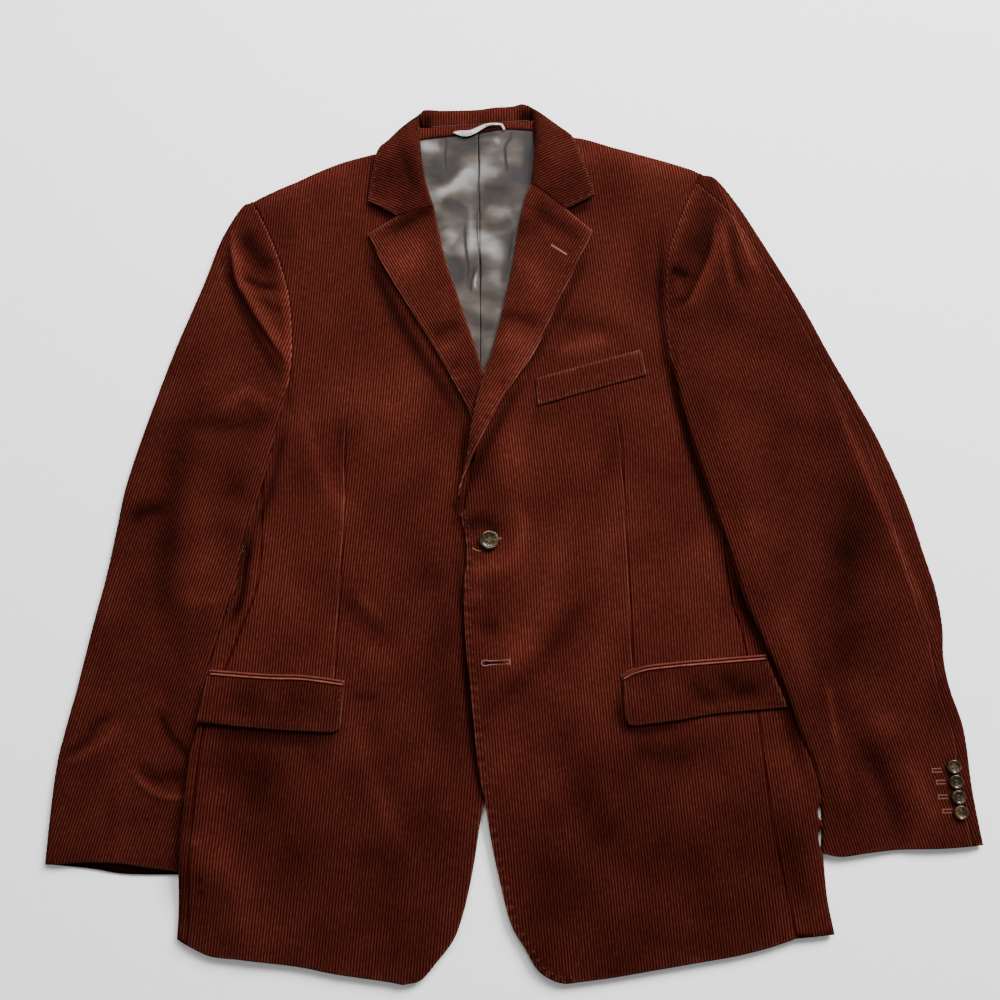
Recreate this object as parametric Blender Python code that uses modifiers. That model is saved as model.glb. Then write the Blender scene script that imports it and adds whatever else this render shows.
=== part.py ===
# Two-button corduroy jacket, laid flat on its back and buttoned at the upper button.
# Each piece is a panel cut to its outline and laid on what is already there, from the
# floor up. Right and left are the wearer's: the right side is at -X, the neck at +Y.
import bmesh
import bpy
import numpy as np
from mathutils import Vector, geometry

for old in list(bpy.data.objects):
    bpy.data.objects.remove(old, do_unlink=True)

# Driving sizes, in metres. The outline tables below are in millimetres.
MM = 0.001
CLOTH = 0.0022            # corduroy with its backing
FRONT_CLOTH = 0.0026      # fronts, lapels and collar are interlined
FLAP_CLOTH = 0.0024
LINING_CLOTH = 0.0010
FACING_CLOTH = 0.0012
TRIM_CLOTH = 0.0014       # welt, pocket jets and hanger loop
SEAM_GAP = 0.00016        # each piece is this far inside its own seam lines
LAY_GAP = 0.00045         # a piece lies this far above what it lies on
FOLD_RISE = 0.0032        # half the height of a folded edge
SIDE_RISE = 0.0028        # the same where the side panels turn, with little air between
SIDE_LOFT = 0.0009
ROLL_INSET = 0.0080       # a front ends this far inside its lapel's rolled edge
PANEL_STEP = 0.023        # mesh spacing on the panels that show
HIDDEN_STEP = 0.040       # mesh spacing on the panels that lie underneath
SHOULDER_PAD = 0.0085     # extra wall at the shoulder tips
SLEEVE_HEAD = 0.0045      # extra wall round the sleeve heads
PAD_FADE = 0.055          # how far the padding reaches from the shoulder line
HEAD_FADE = 0.034
PAD_RIM = 0.016           # the padding starts this far inside a panel's edge
FRONT_LEVEL = 0.0047      # least height of the fronts' undersides
SLEEVE_LOFT = 0.0022      # air in a sleeve
LAPEL_LOFT = 0.0008
ROLL_DROP = 0.0030        # a rolled edge turns down this far, over this width
ROLL_REACH = 0.0050
CLEARANCE = 0.00036       # least gap between a panel and the pile
BARE_FLOOR = 0.0002
EDGE_SAMPLES = 13         # places tested along each mesh edge
BEND_ROWS = (0.0012, 0.0042)   # rows of points beside a folded or rolled edge
PINNED_REACH = (0.0025, 0.006)   # least and greatest width over which a sheet turns to its fold
PINCH = 0.0052            # within this distance of a fold its two sheets close on each other
COLLAR_RISE = 0.0045      # and at the collar's folded top
COLLAR_STEP = 0.013
ON_LINE = 0.000002        # a point nearer than this is on the line
FRONT_BUTTON_D = 0.0185
CUFF_BUTTON_D = 0.0132
BUTTON_T = 0.0028
BUTTON_GAP = 0.0004
STAND_LEVEL = 0.0052
JET_WIDTH = 0.0055
JET_GAP = 0.0003

# Colours, as linear RGB, with roughness
RUST = ((0.115, 0.028, 0.012), 0.95)
RUST_DARK = ((0.085, 0.020, 0.010), 0.95)
TAUPE = ((0.32, 0.28, 0.24), 0.45)
SILVER = ((0.52, 0.50, 0.47), 0.5)
HORN = ((0.12, 0.09, 0.045), 0.3)

# Seams, folded edges and cut edges, each drawn once and shared by the pieces it joins
CURVES = {
    # the wearer's right side
    "shoulder_r": [(-105, 387), (-127, 371), (-142, 368), (-175, 358), (-215, 339), (-262, 318)],
    "armhole_r": [(-262, 318), (-245, 285), (-231, 250), (-222, 218), (-218, 184), (-217, 150),
                  (-220, 118)],
    "underarm_r": [(-220, 118), (-232, 98), (-240, 66)],
    "back_underarm_r": [(-220, 118), (-214, 88), (-205, 62)],
    "side_seam_r": [(-240, 66), (-240, 20), (-239, -45), (-243, -75), (-253, -104), (-266, -140),
                    (-278, -175), (-285, -203), (-288, -240), (-291, -306), (-292, -344), (-292, -391)],
    "side_fold_r": [(-254, 60), (-252, 10), (-254, -22), (-258.5, -50), (-260.5, -72), (-269, -95),
                    (-277.5, -121), (-283.5, -150), (-291, -195), (-297, -225), (-299, -260), (-301, -300),
                    (-302, -386)],
    "back_seam_r": [(-205, 62), (-203, 0), (-206, -80), (-228, -140), (-244, -200), (-251, -270),
                    (-252, -384)],
    "hem_r": [(-292, -391), (-271, -400), (-243, -403), (-192, -409), (-160, -415), (-116, -421),
              (-99, -424)],
    "edge_r": [(-99, -424), (-83, -420), (-69, -405), (-54, -386), (-46, -365), (-40, -341), (-35, -314),
               (-29, -276), (-19, -238), (-11, -175), (-5, -101), (-1, -27), (-1, -11)],
    "roll_r": [(-1, -11), (-8, 42), (-18, 92), (-30, 143), (-54, 217), (-68, 260), (-79, 311)],
    "neck_roll_r": [(-79, 311), (-88, 340), (-92, 365), (-94, 392), (-95, 412)],
    "gorge_r": [(-79, 311), (-115, 300)],
    "lapel_top_r": [(-115, 300), (-144, 281)],
    "lapel_r": [(-144, 281), (-128, 246), (-102, 204), (-79, 166), (-59, 131), (-42, 97), (-27, 62),
                (-13, 23), (-1, -11)],
    "collar_end_r": [(-145, 315), (-115, 300)],
    "collar_leaf_r": [(-132, 377), (-138, 363), (-143, 330), (-145, 315)],
    "collar_fold_r": [(-95, 412), (-116, 395), (-132, 377)],
    # the wearer's left side
    "shoulder_l": [(38, 394), (57, 381), (74, 381), (109, 372), (149, 360), (190, 345)],
    "armhole_l": [(190, 345), (176, 318), (167, 297), (157, 269), (153, 243), (152, 210), (152, 184),
                  (154, 150)],
    "underarm_l": [(154, 150), (168, 126), (186, 96), (203, 66)],
    "back_underarm_l": [(154, 150), (160, 100), (180, 62)],
    "side_seam_l": [(203, 66), (201, 0), (201, -45), (206, -86), (213, -110), (218, -139), (226, -187),
                    (230, -230), (233, -265), (238, -305), (245, -343), (252, -385)],
    "side_fold_l": [(230, 60), (229, 0), (231, -40), (240, -90), (251, -139), (261.5, -195), (271.5, -232),
                    (276.5, -256), (276.5, -280), (277, -312), (281, -350), (286, -379)],
    "back_seam_l": [(180, 62), (178, 0), (181, -40), (190, -90), (200, -139), (210, -195), (219, -240),
                    (224, -300), (231, -350), (236, -382)],
    "hem_l": [(252, -385), (227, -393), (197, -400), (161, -406), (124, -412), (87, -418), (55, -422)],
    "edge_l": [(55, -422), (45, -423), (33, -420), (20, -411), (9, -393), (-3, -373), (-12, -341),
               (-21, -301), (-27, -264), (-32, -242), (-39, -178), (-42, -152), (-45, -122), (-47, -81),
               (-46, -60), (-44, -45), (-45, -27), (-49, -10), (-53, 4)],
    "roll_l": [(-53, 4), (-53, 18), (-50, 32), (-45, 55), (-38, 99), (-29, 137), (-21, 162), (-13, 193),
               (-3, 240), (3, 277), (10, 314), (18, 336)],
    "neck_roll_l": [(18, 336), (21, 366), (20, 392), (17, 417)],
    "gorge_l": [(18, 336), (53, 308)],
    "lapel_top_l": [(53, 308), (80, 284)],
    "lapel_l": [(80, 284), (62, 246), (39, 198), (20, 157), (-6, 118), (-25, 82), (-41, 49), (-49, 28),
                (-53, 4)],
    "collar_end_l": [(81, 321), (53, 308)],
    "collar_leaf_l": [(60, 389), (67, 370), (74, 350), (81, 328), (81, 321)],
    "collar_fold_l": [(17, 417), (33, 412), (49, 401), (60, 389)],
    # the middle of the back and the neck
    "collar_top": [(-95, 412), (-89, 417), (-67, 416), (-28, 418), (0, 421), (11, 423), (17, 417)],
    "collar_under": [(-132, 377), (-100, 373), (-40, 375), (20, 381), (60, 389)],
    "stand_seam": [(-92, 400), (-64, 402), (-28, 403), (5, 407), (18, 406)],
    "back_neck_r": [(-33, 398), (-70, 396), (-105, 387)],
    "back_neck_l": [(-33, 398), (5, 400), (38, 394)],
    "centre_back": [(-33, 398), (-34, 100), (-28, -261)],
    "vent_r": [(-28, -261), (-78, -408)],
    "vent_l": [(-28, -261), (33, -408)],
    "back_hem_r": [(-252, -384), (-190, -400), (-130, -407), (-78, -408)],
    "back_hem_l": [(236, -382), (180, -392), (100, -406), (33, -408)],
    "facing_top": [(-98, 396), (-64, 398.5), (-28, 399.5), (5, 402.5), (27, 400)],
    "facing_low_r": [(-35, 391), (-64, 389), (-98, 385)],
    "facing_low_l": [(-35, 391), (-8, 395), (27, 393)],
    "lining_seam": [(-35, 391), (-33, 260), (-32, 116)],
    "lining_side_r": [(-98, 385), (-113, 370), (-112, 310), (-88, 217), (-62, 135), (-32, 116)],
    "lining_side_l": [(27, 393), (46, 378), (44, 310), (24, 230), (2, 145), (-32, 116)],
}

# Sleeve edges. The outer fold hangs away from the body, the inner fold is next to it,
# and the hind seam runs on the upper side, just inside the outer fold.
SLEEVES = {
    "r": {
        "outer": [(-265, 316.5), (-270, 312), (-281, 294), (-294, 272), (-307, 232), (-329, 172),
                  (-350, 107), (-371, 33), (-379, -16), (-386, -62), (-396, -109), (-407, -167),
                  (-419, -225), (-423, -270), (-425, -322)],
        "hind": [(-258.5, 308), (-271, 286), (-284, 260), (-297, 228), (-318, 172), (-339, 107),
                 (-358, 38), (-367, -12), (-375, -60), (-385, -109), (-396, -167), (-408, -225),
                 (-413, -280), (-414, -322)],
        "inner": [(-220, 118), (-226, 92), (-234, 48), (-244, 10), (-256, -26), (-260, -50), (-262, -72),
                  (-271, -95), (-279, -121), (-284, -152), (-285, -200), (-283, -260), (-281, -330)],
        "cuff": [(-281, -330), (-304, -328), (-336, -324), (-359, -321), (-389, -320), (-414, -322)],
        "cuff_under": [(-281, -330), (-304, -331), (-336, -331), (-359, -330), (-383, -326), (-425, -322)],
    },
    "l": {
        "outer": [(192, 344.5), (205, 341), (226, 314), (241, 291), (264, 250), (288, 206), (311, 158),
                  (333, 115), (355, 69), (376, 13), (389, -35), (399, -74), (403, -108), (402, -137),
                  (406, -166), (416, -203), (420, -258), (426, -305)],
        "hind": [(187.5, 336), (211, 314), (229, 289), (253, 249), (277, 205), (300, 157), (322, 114),
                 (342, 69), (357, 13), (367, -38), (379, -85), (388, -117), (391, -140), (395, -170),
                 (405, -205), (409, -258), (415, -306)],
        "inner": [(154, 150), (161, 112), (170, 74), (181, 36), (192, -2), (201, -29), (216, -84),
                  (231, -119), (247, -157), (255, -181), (265, -211), (273.5, -231), (278.5, -256),
                  (280, -280), (278, -312)],
        "cuff": [(278, -312), (296, -315), (320, -312), (350, -309), (389, -308), (415, -306)],
        "cuff_under": [(278, -312), (296, -315), (320, -312), (350, -309), (389, -308), (426, -305)],
    },
}
FRONT_BUTTON = (-23, -27)
LOWER_BUTTON = (-16, -141)
CUFF_BUTTONS = [(402.5, -235.5), (403.5, -249), (404.7, -262.5), (406, -276)]
UNDERARM_GAP = 0.004      # the under sleeve ends this far above the armhole's lowest point
FORE_TURN = 0.016         # the top sleeve turns this far under at its inner fold
FRONT_NECK_TOP = 0.386    # the fronts' rolled edges end here, under the collar
LIFT_FROM, LIFT_TO = -0.052, -0.092   # the right sleeve is over the body above, under it below

# Pockets: corners and edges of what is sewn on the fronts
POCKETS = {
    "pocket_flap_right": [[(-283, -153), (-230, -157), (-196, -158), (-158, -163)],
                          [(-158, -163), (-159, -197)],
                          [(-159, -197), (-161, -202), (-167, -205)],
                          [(-167, -205), (-211, -203), (-258, -199), (-290, -195)],
                          [(-290, -195), (-283, -153)]],
    "pocket_flap_left": [[(101, -158), (116, -151), (151, -146), (236, -139)],
                         [(236, -139), (253, -182)],
                         [(253, -182), (219, -185), (186, -188), (150, -194), (112, -199)],
                         [(112, -199), (106, -198), (103, -192)],
                         [(103, -192), (101, -158)]],
    "chest_pocket_welt": [[(22, 133), (74, 148), (125, 162)], [(125, 162), (130, 136)],
                          [(130, 136), (77, 121), (23, 105)], [(23, 105), (22, 133)]],
    "hanger_loop": [[(-61, 397), (-44, 397), (-28, 402), (-14, 406), (-6, 401)], [(-6, 401), (-9, 396)],
                    [(-9, 396), (-15, 401), (-28, 397), (-44, 392), (-59, 392)], [(-59, 392), (-61, 397)]],
}

# Folds: each is a soft ridge, or a trough where its height is below zero.
# from x, from y, to x, to y, half width, height, in millimetres
FOLD_COLUMNS = ("x0", "y0", "x1", "y1", "width", "height")
FOLDS = {
    "front_right": [(-200, 110, -176, 10, 14, 1.6), (-160, -85, -132, -126, 10, -1.6),
                    (-250, -330, -236, -398, 16, 1.8), (-60, -60, -20, -30, 9, 1.4),
                    (-205, -215, -180, -240, 18, -1.6), (-120, -140, -95, -250, 16, 1.2)],
    "front_left": [(-42, -40, 4, -52, 8, 1.8), (-48, -13, -12, -12, 7, -1.6), (8, -160, 84, -52, 18, 1.9),
                   (38, 178, 124, 170, 12, 1.4), (60, -120, 74, -60, 10, -1.6),
                   (150, -215, 215, -235, 16, -1.6), (110, -230, 150, -330, 18, 1.5),
                   (-30, -150, -20, -215, 10, 1.3)],
    "top_sleeve_right": [(-256, 262, -231, 150, 12, 4.0), (-270, 276, -250, 196, 10, -2.4),
                         (-302, 108, -245, 120, 14, 2.6), (-306, -96, -272, -80, 9, 2.4),
                         (-338, -185, -292, -262, 10, 2.8), (-366, -180, -350, -250, 14, -1.8),
                         (-350, 60, -300, -60, 18, 1.6)],
    "top_sleeve_left": [(153, 230, 208, 250, 8, 2.2), (158, 205, 178, 216, 6, 1.6),
                        (294, -196, 298, -250, 11, 2.8), (330, -232, 346, -306, 14, -2.0),
                        (336, 55, 380, -84, 14, 2.6), (214, 262, 262, 120, 20, 1.8),
                        (240, -30, 290, -120, 18, 1.6)],
    "lapel_right": [(-122, 268, -88, 282, 12, 1.4), (-86, 196, -58, 206, 9, 1.4)],
    "lapel_left": [(5, 262, 52, 232, 10, 1.4), (-12, 200, 20, 186, 9, 1.4)],
    "collar_r": [(-126, 345, -100, 352, 12, 1.2)],
    "collar_l": [(40, 372, 62, 340, 12, 1.2)],
    "back_lining_right": [(-80, 375, -60, 300, 9, 1.2), (-60, 290, -45, 200, 7, 1.0)],
    "back_lining_left": [(-4, 380, -14, 300, 8, 1.2), (-10, 260, -18, 190, 6, 1.0)],
}


def smooth_line(points, step):
    """Curve through the points, with a point about every step; both ends are kept."""
    points = np.array(points, float) * MM
    if len(points) == 2:
        padded = None
    else:
        padded = np.vstack([2 * points[0] - points[1], points, 2 * points[-1] - points[-2]])
    fine = []
    for i in range(len(points) - 1):
        t = np.linspace(0, 1, 12, endpoint=False)[:, None]
        if padded is None:
            fine.append(points[0] + (points[1] - points[0]) * t)
            continue
        before, start, end, after = padded[i:i + 4]
        fine.append(0.5 * (2 * start + (end - before) * t
                           + (2 * before - 5 * start + 4 * end - after) * t**2
                           + (3 * start - before - 3 * end + after) * t**3))
    fine = np.vstack(fine + [points[-1:]])
    length = np.concatenate([[0], np.cumsum(np.hypot(*np.diff(fine, axis=0).T))])
    count = max(1, int(round(length[-1] / step)))
    marks = np.linspace(0, length[-1], count + 1)
    return np.column_stack([np.interp(marks, length, fine[:, k]) for k in (0, 1)])


def shifted(line, distance):
    """The line moved sideways: to its left for a distance above zero."""
    along = np.gradient(line, axis=0)
    along /= np.hypot(*along.T)[:, None]
    return line + distance * np.column_stack([-along[:, 1], along[:, 0]])


def distance_to(line, points):
    """Distance of each point from a line, and the number of the nearest line point."""
    start, run = line[:-1], np.diff(line, axis=0)
    offset = points[:, None, :] - start[None]
    t = np.clip((offset * run).sum(2) / np.maximum((run**2).sum(1), 1e-12), 0, 1)
    gap = np.hypot(*np.moveaxis(offset - t[..., None] * run, 2, 0))
    best = gap.argmin(1)
    rows = np.arange(len(points))
    return gap[rows, best], best + t[rows, best]


def inside(loop, points):
    """True for the points inside a closed loop."""
    hit = np.zeros(len(points), bool)
    for (x0, y0), (x1, y1) in zip(loop, np.roll(loop, -1, axis=0)):
        crosses = (y0 > points[:, 1]) != (y1 > points[:, 1])
        if crosses.any():
            hit ^= crosses & (points[:, 0] < (x1 - x0) * (points[:, 1] - y0) / (y1 - y0) + x0)
    return hit


class Pile:
    """Height of everything laid so far, on a fine grid over the floor."""

    cell = 0.002
    ease = 2              # cells by which a panel bridges the steps under it
    reach = np.array([0.462, 0.452])

    def __init__(self):
        self.shape = tuple(int(n) for n in np.ceil(2 * self.reach[::-1] / self.cell))
        self.top = np.zeros(self.shape)

    def read(self, height, xy):
        col, row = ((xy + self.reach) / self.cell - 0.5).T
        i, j = np.floor(row).astype(int), np.floor(col).astype(int)
        v, u = row - i, col - j
        return ((1 - v) * ((1 - u) * height[i, j] + u * height[i, j + 1])
                + v * ((1 - u) * height[i + 1, j] + u * height[i + 1, j + 1]))

    def raster(self, points, triangles):
        """Height of the mesh over each grid cell it covers, and the triangle there."""
        height = np.full(self.shape, -1.0)
        owner = np.full(self.shape, -1)
        flat = (points[:, :2] + self.reach) / self.cell - 0.5
        for number, corners in enumerate(triangles):
            a, b, c = flat[corners]
            low = np.ceil(np.minimum(np.minimum(a, b), c)).astype(int)
            high = np.floor(np.maximum(np.maximum(a, b), c)).astype(int)
            area = (b[0] - a[0]) * (c[1] - a[1]) - (b[1] - a[1]) * (c[0] - a[0])
            if (high < low).any() or abs(area) < 1e-9:
                continue
            x, y = np.meshgrid(np.arange(low[0], high[0] + 1), np.arange(low[1], high[1] + 1))
            wb = ((x - a[0]) * (c[1] - a[1]) - (y - a[1]) * (c[0] - a[0])) / area
            wc = ((b[0] - a[0]) * (y - a[1]) - (b[1] - a[1]) * (x - a[0])) / area
            covered = (wb >= -1e-6) & (wc >= -1e-6) & (wb + wc <= 1 + 1e-6)
            za, zb, zc = points[corners, 2]
            z = za * (1 - wb - wc) + zb * wb + zc * wc
            rows, cols = y[covered], x[covered]
            higher = z[covered] > height[rows, cols]
            height[rows[higher], cols[higher]] = z[covered][higher]
            owner[rows[higher], cols[higher]] = number
        return height, owner

    def draped(self, mask):
        """The pile under a panel, eased over its steps as cloth lies over them."""
        cells = self.ease
        under = np.where(mask, self.top, 0.0)
        for axis in (0, 1):
            under = np.max([np.roll(under, k, axis) for k in range(-cells, cells + 1)], axis=0)
        weight = mask.astype(float)
        under = under * weight
        for axis in (0, 1):
            under = np.mean([np.roll(under, k, axis) for k in range(-cells, cells + 1)], axis=0)
            weight = np.mean([np.roll(weight, k, axis) for k in range(-cells, cells + 1)], axis=0)
        return under / np.maximum(weight, 1e-6)

    def widened(self, mask):
        """The pile under a panel, each height spread over the cells next to it."""
        under = np.where(mask, self.top, -1.0)
        for axis in (0, 1):
            under = np.max([np.roll(under, k, axis) for k in (-1, 0, 1)], axis=0)
        return np.where(mask, under, -1.0)

    def close_to(self, line, mask, distance):
        """The cells under a panel that are nearer to a line than the distance."""
        rows, cols = np.nonzero(mask)
        centres = (np.column_stack([cols, rows]) + 0.5) * self.cell - self.reach
        near = distance_to(line, centres)[0] < distance
        return rows[near], cols[near]

    def nearby(self, mask, xy):
        """Greatest height next to each point, over the cells under the panel where it has any."""
        heights = []
        cols, rows = np.round((xy + self.reach) / self.cell - 0.5).astype(int).T
        for under in (np.where(mask, self.top, -1.0), self.top):
            for axis in (0, 1):
                under = np.max([np.roll(under, k, axis) for k in (-1, 0, 1)], axis=0)
            heights.append(under[rows, cols])
        return np.where(heights[0] < 0, heights[1], heights[0])

    def add(self, panel, below=1.0):
        """Adds a laid panel's upper face, as far up the garment as the given Y."""
        upper = panel.points() if panel.faces_up else panel.other_face()
        height = self.raster(upper, panel.triangles)[0]
        rows = (np.arange(self.shape[0]) + 0.5) * self.cell - self.reach[1]
        height[rows > below] = -1.0
        self.top = np.maximum(self.top, height)


class Panel:
    """One flat cut of cloth. Its edges are curves, joined by straight cuts where they don't
    meet; folded and rolled ones bend down."""

    def __init__(self, edges, step, wall, faces_up=True):
        loop, kinds = [], []
        for number, (line, kind) in enumerate(edges):
            following = edges[(number + 1) % len(edges)][0][0]
            meets = np.hypot(*(line[-1] - following)) < ON_LINE
            loop.append(line[:-1] if meets else line)
            kinds += [kind] * (len(line) - 1) + ([] if meets else ["cut"])
        loop = np.vstack(loop)
        self.bends = [(line, kind) for line, kind in edges if kind != "cut"]
        held = np.array([kind == "fold" for kind in kinds])
        held |= np.roll(held, 1)
        turn = (loop[:, 0] * np.roll(loop[:, 1], -1) - np.roll(loop[:, 0], -1) * loop[:, 1]).sum()
        before = loop - np.roll(loop, 1, axis=0)
        after = np.roll(loop, -1, axis=0) - loop
        inward = []
        for run in (before, after):
            run = run / np.hypot(*run.T)[:, None]
            inward.append(np.column_stack([-run[:, 1], run[:, 0]]) * np.sign(turn))
        both = inward[0] + inward[1]
        both *= (2 / np.maximum((both**2).sum(1), 0.6))[:, None]
        loop = loop + np.where(held[:, None], 0, both * SEAM_GAP)
        extra = []
        for line, kind in self.bends:
            for depth in BEND_ROWS:
                row = shifted(line, depth * np.sign(turn))
                for end, beside in ((0, 1), (-1, -2)):
                    run = row[beside] - row[end]
                    row[end] += run / np.hypot(*run) * depth
                extra.append(row)
        low, high = loop.min(0), loop.max(0)
        columns = np.arange(low[0] + step / 2, high[0], step)
        rows = np.arange(low[1] + step / 2, high[1], step * 0.9)
        grid = [(x + (0.25 if n % 2 else -0.25) * step, y) for n, y in enumerate(rows) for x in columns]
        grid = np.array(grid).reshape(-1, 2)
        closed = np.vstack([loop, loop[:1]])
        keep = inside(loop, grid)
        keep &= distance_to(closed, grid)[0] > 0.42 * step
        inner = [grid[keep]]
        for row in extra:
            keep = inside(loop, row)
            keep &= distance_to(closed, row)[0] > 0.0008
            inner.append(row[keep])
        flat = np.vstack([loop] + inner)
        ring = [(i, (i + 1) % len(loop)) for i in range(len(loop))]
        found = geometry.delaunay_2d_cdt([Vector(p) for p in flat], ring, [], 1, 1e-7)
        self.flat = np.array([tuple(p) for p in found[0]])
        self.triangles = np.array([tuple(f) for f in found[2]])
        self.outline = closed
        self.faces_up = faces_up
        self.wall = np.full(len(self.flat), wall)
        self.into = np.tile([0.0, 0.0, -1.0 if faces_up else 1.0], (len(self.flat), 1))
        self.turn = np.sign(turn)
        self.z = None

    def thicken(self, extra, fade, line):
        """Adds wall near a line, less with distance from it and none at the panel's edge."""
        away = distance_to(line, self.flat)[0]
        rim = np.clip(distance_to(self.outline, self.flat)[0] / PAD_RIM, 0, 1)
        self.wall = self.wall + extra * np.exp(-(away / fade)**2) * rim

    def points(self):
        return np.column_stack([self.flat, self.z])

    def samples(self):
        """Places along every mesh edge: the points at its ends, and how far between them."""
        sides = np.vstack([self.triangles[:, [0, 1]], self.triangles[:, [1, 2]], self.triangles[:, [2, 0]]])
        sides = np.unique(np.sort(sides, axis=1), axis=0)
        t = np.linspace(0, 1, EDGE_SAMPLES)
        return np.repeat(sides[:, 0], len(t)), np.repeat(sides[:, 1], len(t)), np.tile(t, len(sides))

    def other_face(self):
        """The cloth's other face: below a panel that faces up, above one that faces down."""
        return self.points() + self.into * self.wall[:, None]


def folds_at(name, xy):
    """Height that the named piece's folds add at each point."""
    total = np.zeros(len(xy))
    for row in FOLDS.get(name, []):
        fold = dict(zip(FOLD_COLUMNS, row))
        start = np.array([fold["x0"], fold["y0"]]) * MM
        run = np.array([fold["x1"], fold["y1"]]) * MM - start
        t = ((xy - start) @ run) / (run @ run)
        away = np.hypot(*(xy - start - np.clip(t, 0, 1)[:, None] * run).T)
        total += fold["height"] * MM * np.exp(-(away / (fold["width"] * MM))**2)
    return total


pile = Pile()


def bend_edges(panel, edge_heights, rise):
    """Turns a panel's folded and rolled edges, and gives the points that stay where they are."""
    side = 1 if panel.faces_up else -1
    flat_z, strongest = panel.z.copy(), np.zeros(len(panel.flat))
    pinned = np.zeros(len(panel.flat), bool)
    for line, kind in panel.bends:
        away, nearest = distance_to(line, panel.flat)
        away[away < ON_LINE] = 0.0
        if kind == "roll":
            reach, target = ROLL_REACH, flat_z - side * ROLL_DROP
        elif edge_heights is None:
            reach, target = rise, flat_z - side * rise
        else:
            index = np.clip(np.round(nearest).astype(int), 0, len(line) - 1)
            target = np.array([edge_heights[key_of(line[i])] for i in index])
            reach = np.clip(np.abs(flat_z - target), *PINNED_REACH)
        lean = 1 - np.clip(away / reach, 0, 1)
        bend = 1 - np.sqrt(1 - lean**2)
        rank = np.where((away == 0) & (kind == "fold"), 2.0, bend)
        stronger = rank > strongest
        panel.z = np.where(stronger, flat_z + (target - flat_z) * bend, panel.z)
        strongest = np.maximum(strongest, rank)
        if kind == "fold":
            sideways = shifted(line, panel.turn) - line
            places = np.arange(len(line))
            inward = np.column_stack([np.interp(nearest, places, sideways[:, k]) for k in (0, 1)])
            turned = np.column_stack([inward * lean[:, None], -side * np.sqrt(1 - lean**2)])
            panel.into = np.where(stronger[:, None], turned, panel.into)
            pinned |= away == 0
    return pinned


def lay(panel, loft=0.0, level=0.0, relief="", edge_heights=None, rise=FOLD_RISE):
    """Lays a panel on the pile: loft is air under it, level the least height of its underside.
    Its folded edges rise by the given height, or meet the heights of the panel under them."""
    flat_points = np.column_stack([panel.flat, np.zeros(len(panel.flat))])
    mask = pile.raster(flat_points, panel.triangles)[1] >= 0
    rest = pile.read(pile.draped(mask), panel.flat)
    rest = np.where(rest > BARE_FLOOR, rest + LAY_GAP, 0.0)
    base = np.maximum(rest + loft, level)
    base = np.maximum(base + folds_at(relief, panel.flat), rest)
    panel.z = base + (panel.wall if panel.faces_up else 0.0)
    pinned = np.zeros(len(panel.flat), bool)
    if panel.faces_up:
        pinned = bend_edges(panel, edge_heights, rise)
    under_top = pile.widened(mask)
    start, end, t = panel.samples()
    tested_at = panel.flat[start] * (1 - t[:, None]) + panel.flat[end] * t[:, None]
    near_top = pile.nearby(mask, tested_at)
    if edge_heights is not None:
        for line in (line for line, kind in panel.bends if kind == "fold"):
            under_top[pile.close_to(line, mask, PINCH)] = 0.0
            near_top[distance_to(line, tested_at)[0] < PINCH] = 0.0
    for attempt in range(8):
        lower = panel.other_face() if panel.faces_up else panel.points()
        height = lower[start, 2] * (1 - t) + lower[end, 2] * t
        short = np.where(near_top > BARE_FLOOR, np.maximum(near_top + CLEARANCE - height, 0), 0)
        lift = np.zeros(len(panel.flat))
        np.maximum.at(lift, start, short)
        np.maximum.at(lift, end, short)
        height, owner = pile.raster(lower, panel.triangles)
        tested = (owner >= 0) & (under_top > BARE_FLOOR)
        short = np.where(tested, under_top + CLEARANCE - height, -1)
        low_cells = short > 1e-5
        if not low_cells.any() and lift[~pinned].max() < 1e-5:
            break
        for number, amount in zip(owner[low_cells], short[low_cells]):
            corners = panel.triangles[number]
            lift[corners] = np.maximum(lift[corners], amount)
        panel.z = panel.z + np.where(pinned, 0, lift)
    if not panel.faces_up:
        bend_edges(panel, edge_heights, rise)
    pile.add(panel)
    return panel


def key_of(point):
    return (round(float(point[0]), 6), round(float(point[1]), 6))


def heights_on(panel, line):
    """Heights of a laid panel at its folded edge's points."""
    away, nearest = distance_to(line, panel.flat)
    found = {}
    for number in np.nonzero(away < ON_LINE)[0]:
        found[key_of(line[int(round(nearest[number]))])] = panel.z[number]
    return found


part = bpy.data.collections.new("corduroy_jacket")
bpy.context.scene.collection.children.link(part)


def finish_of(name, colour, roughness):
    material = bpy.data.materials.new(name)
    material.use_nodes = True
    shader = material.node_tree.nodes["Principled BSDF"]
    shader.inputs["Base Color"].default_value = (*colour, 1.0)
    shader.inputs["Roughness"].default_value = roughness
    shader.inputs["Metallic"].default_value = 0.0
    return material


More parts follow.
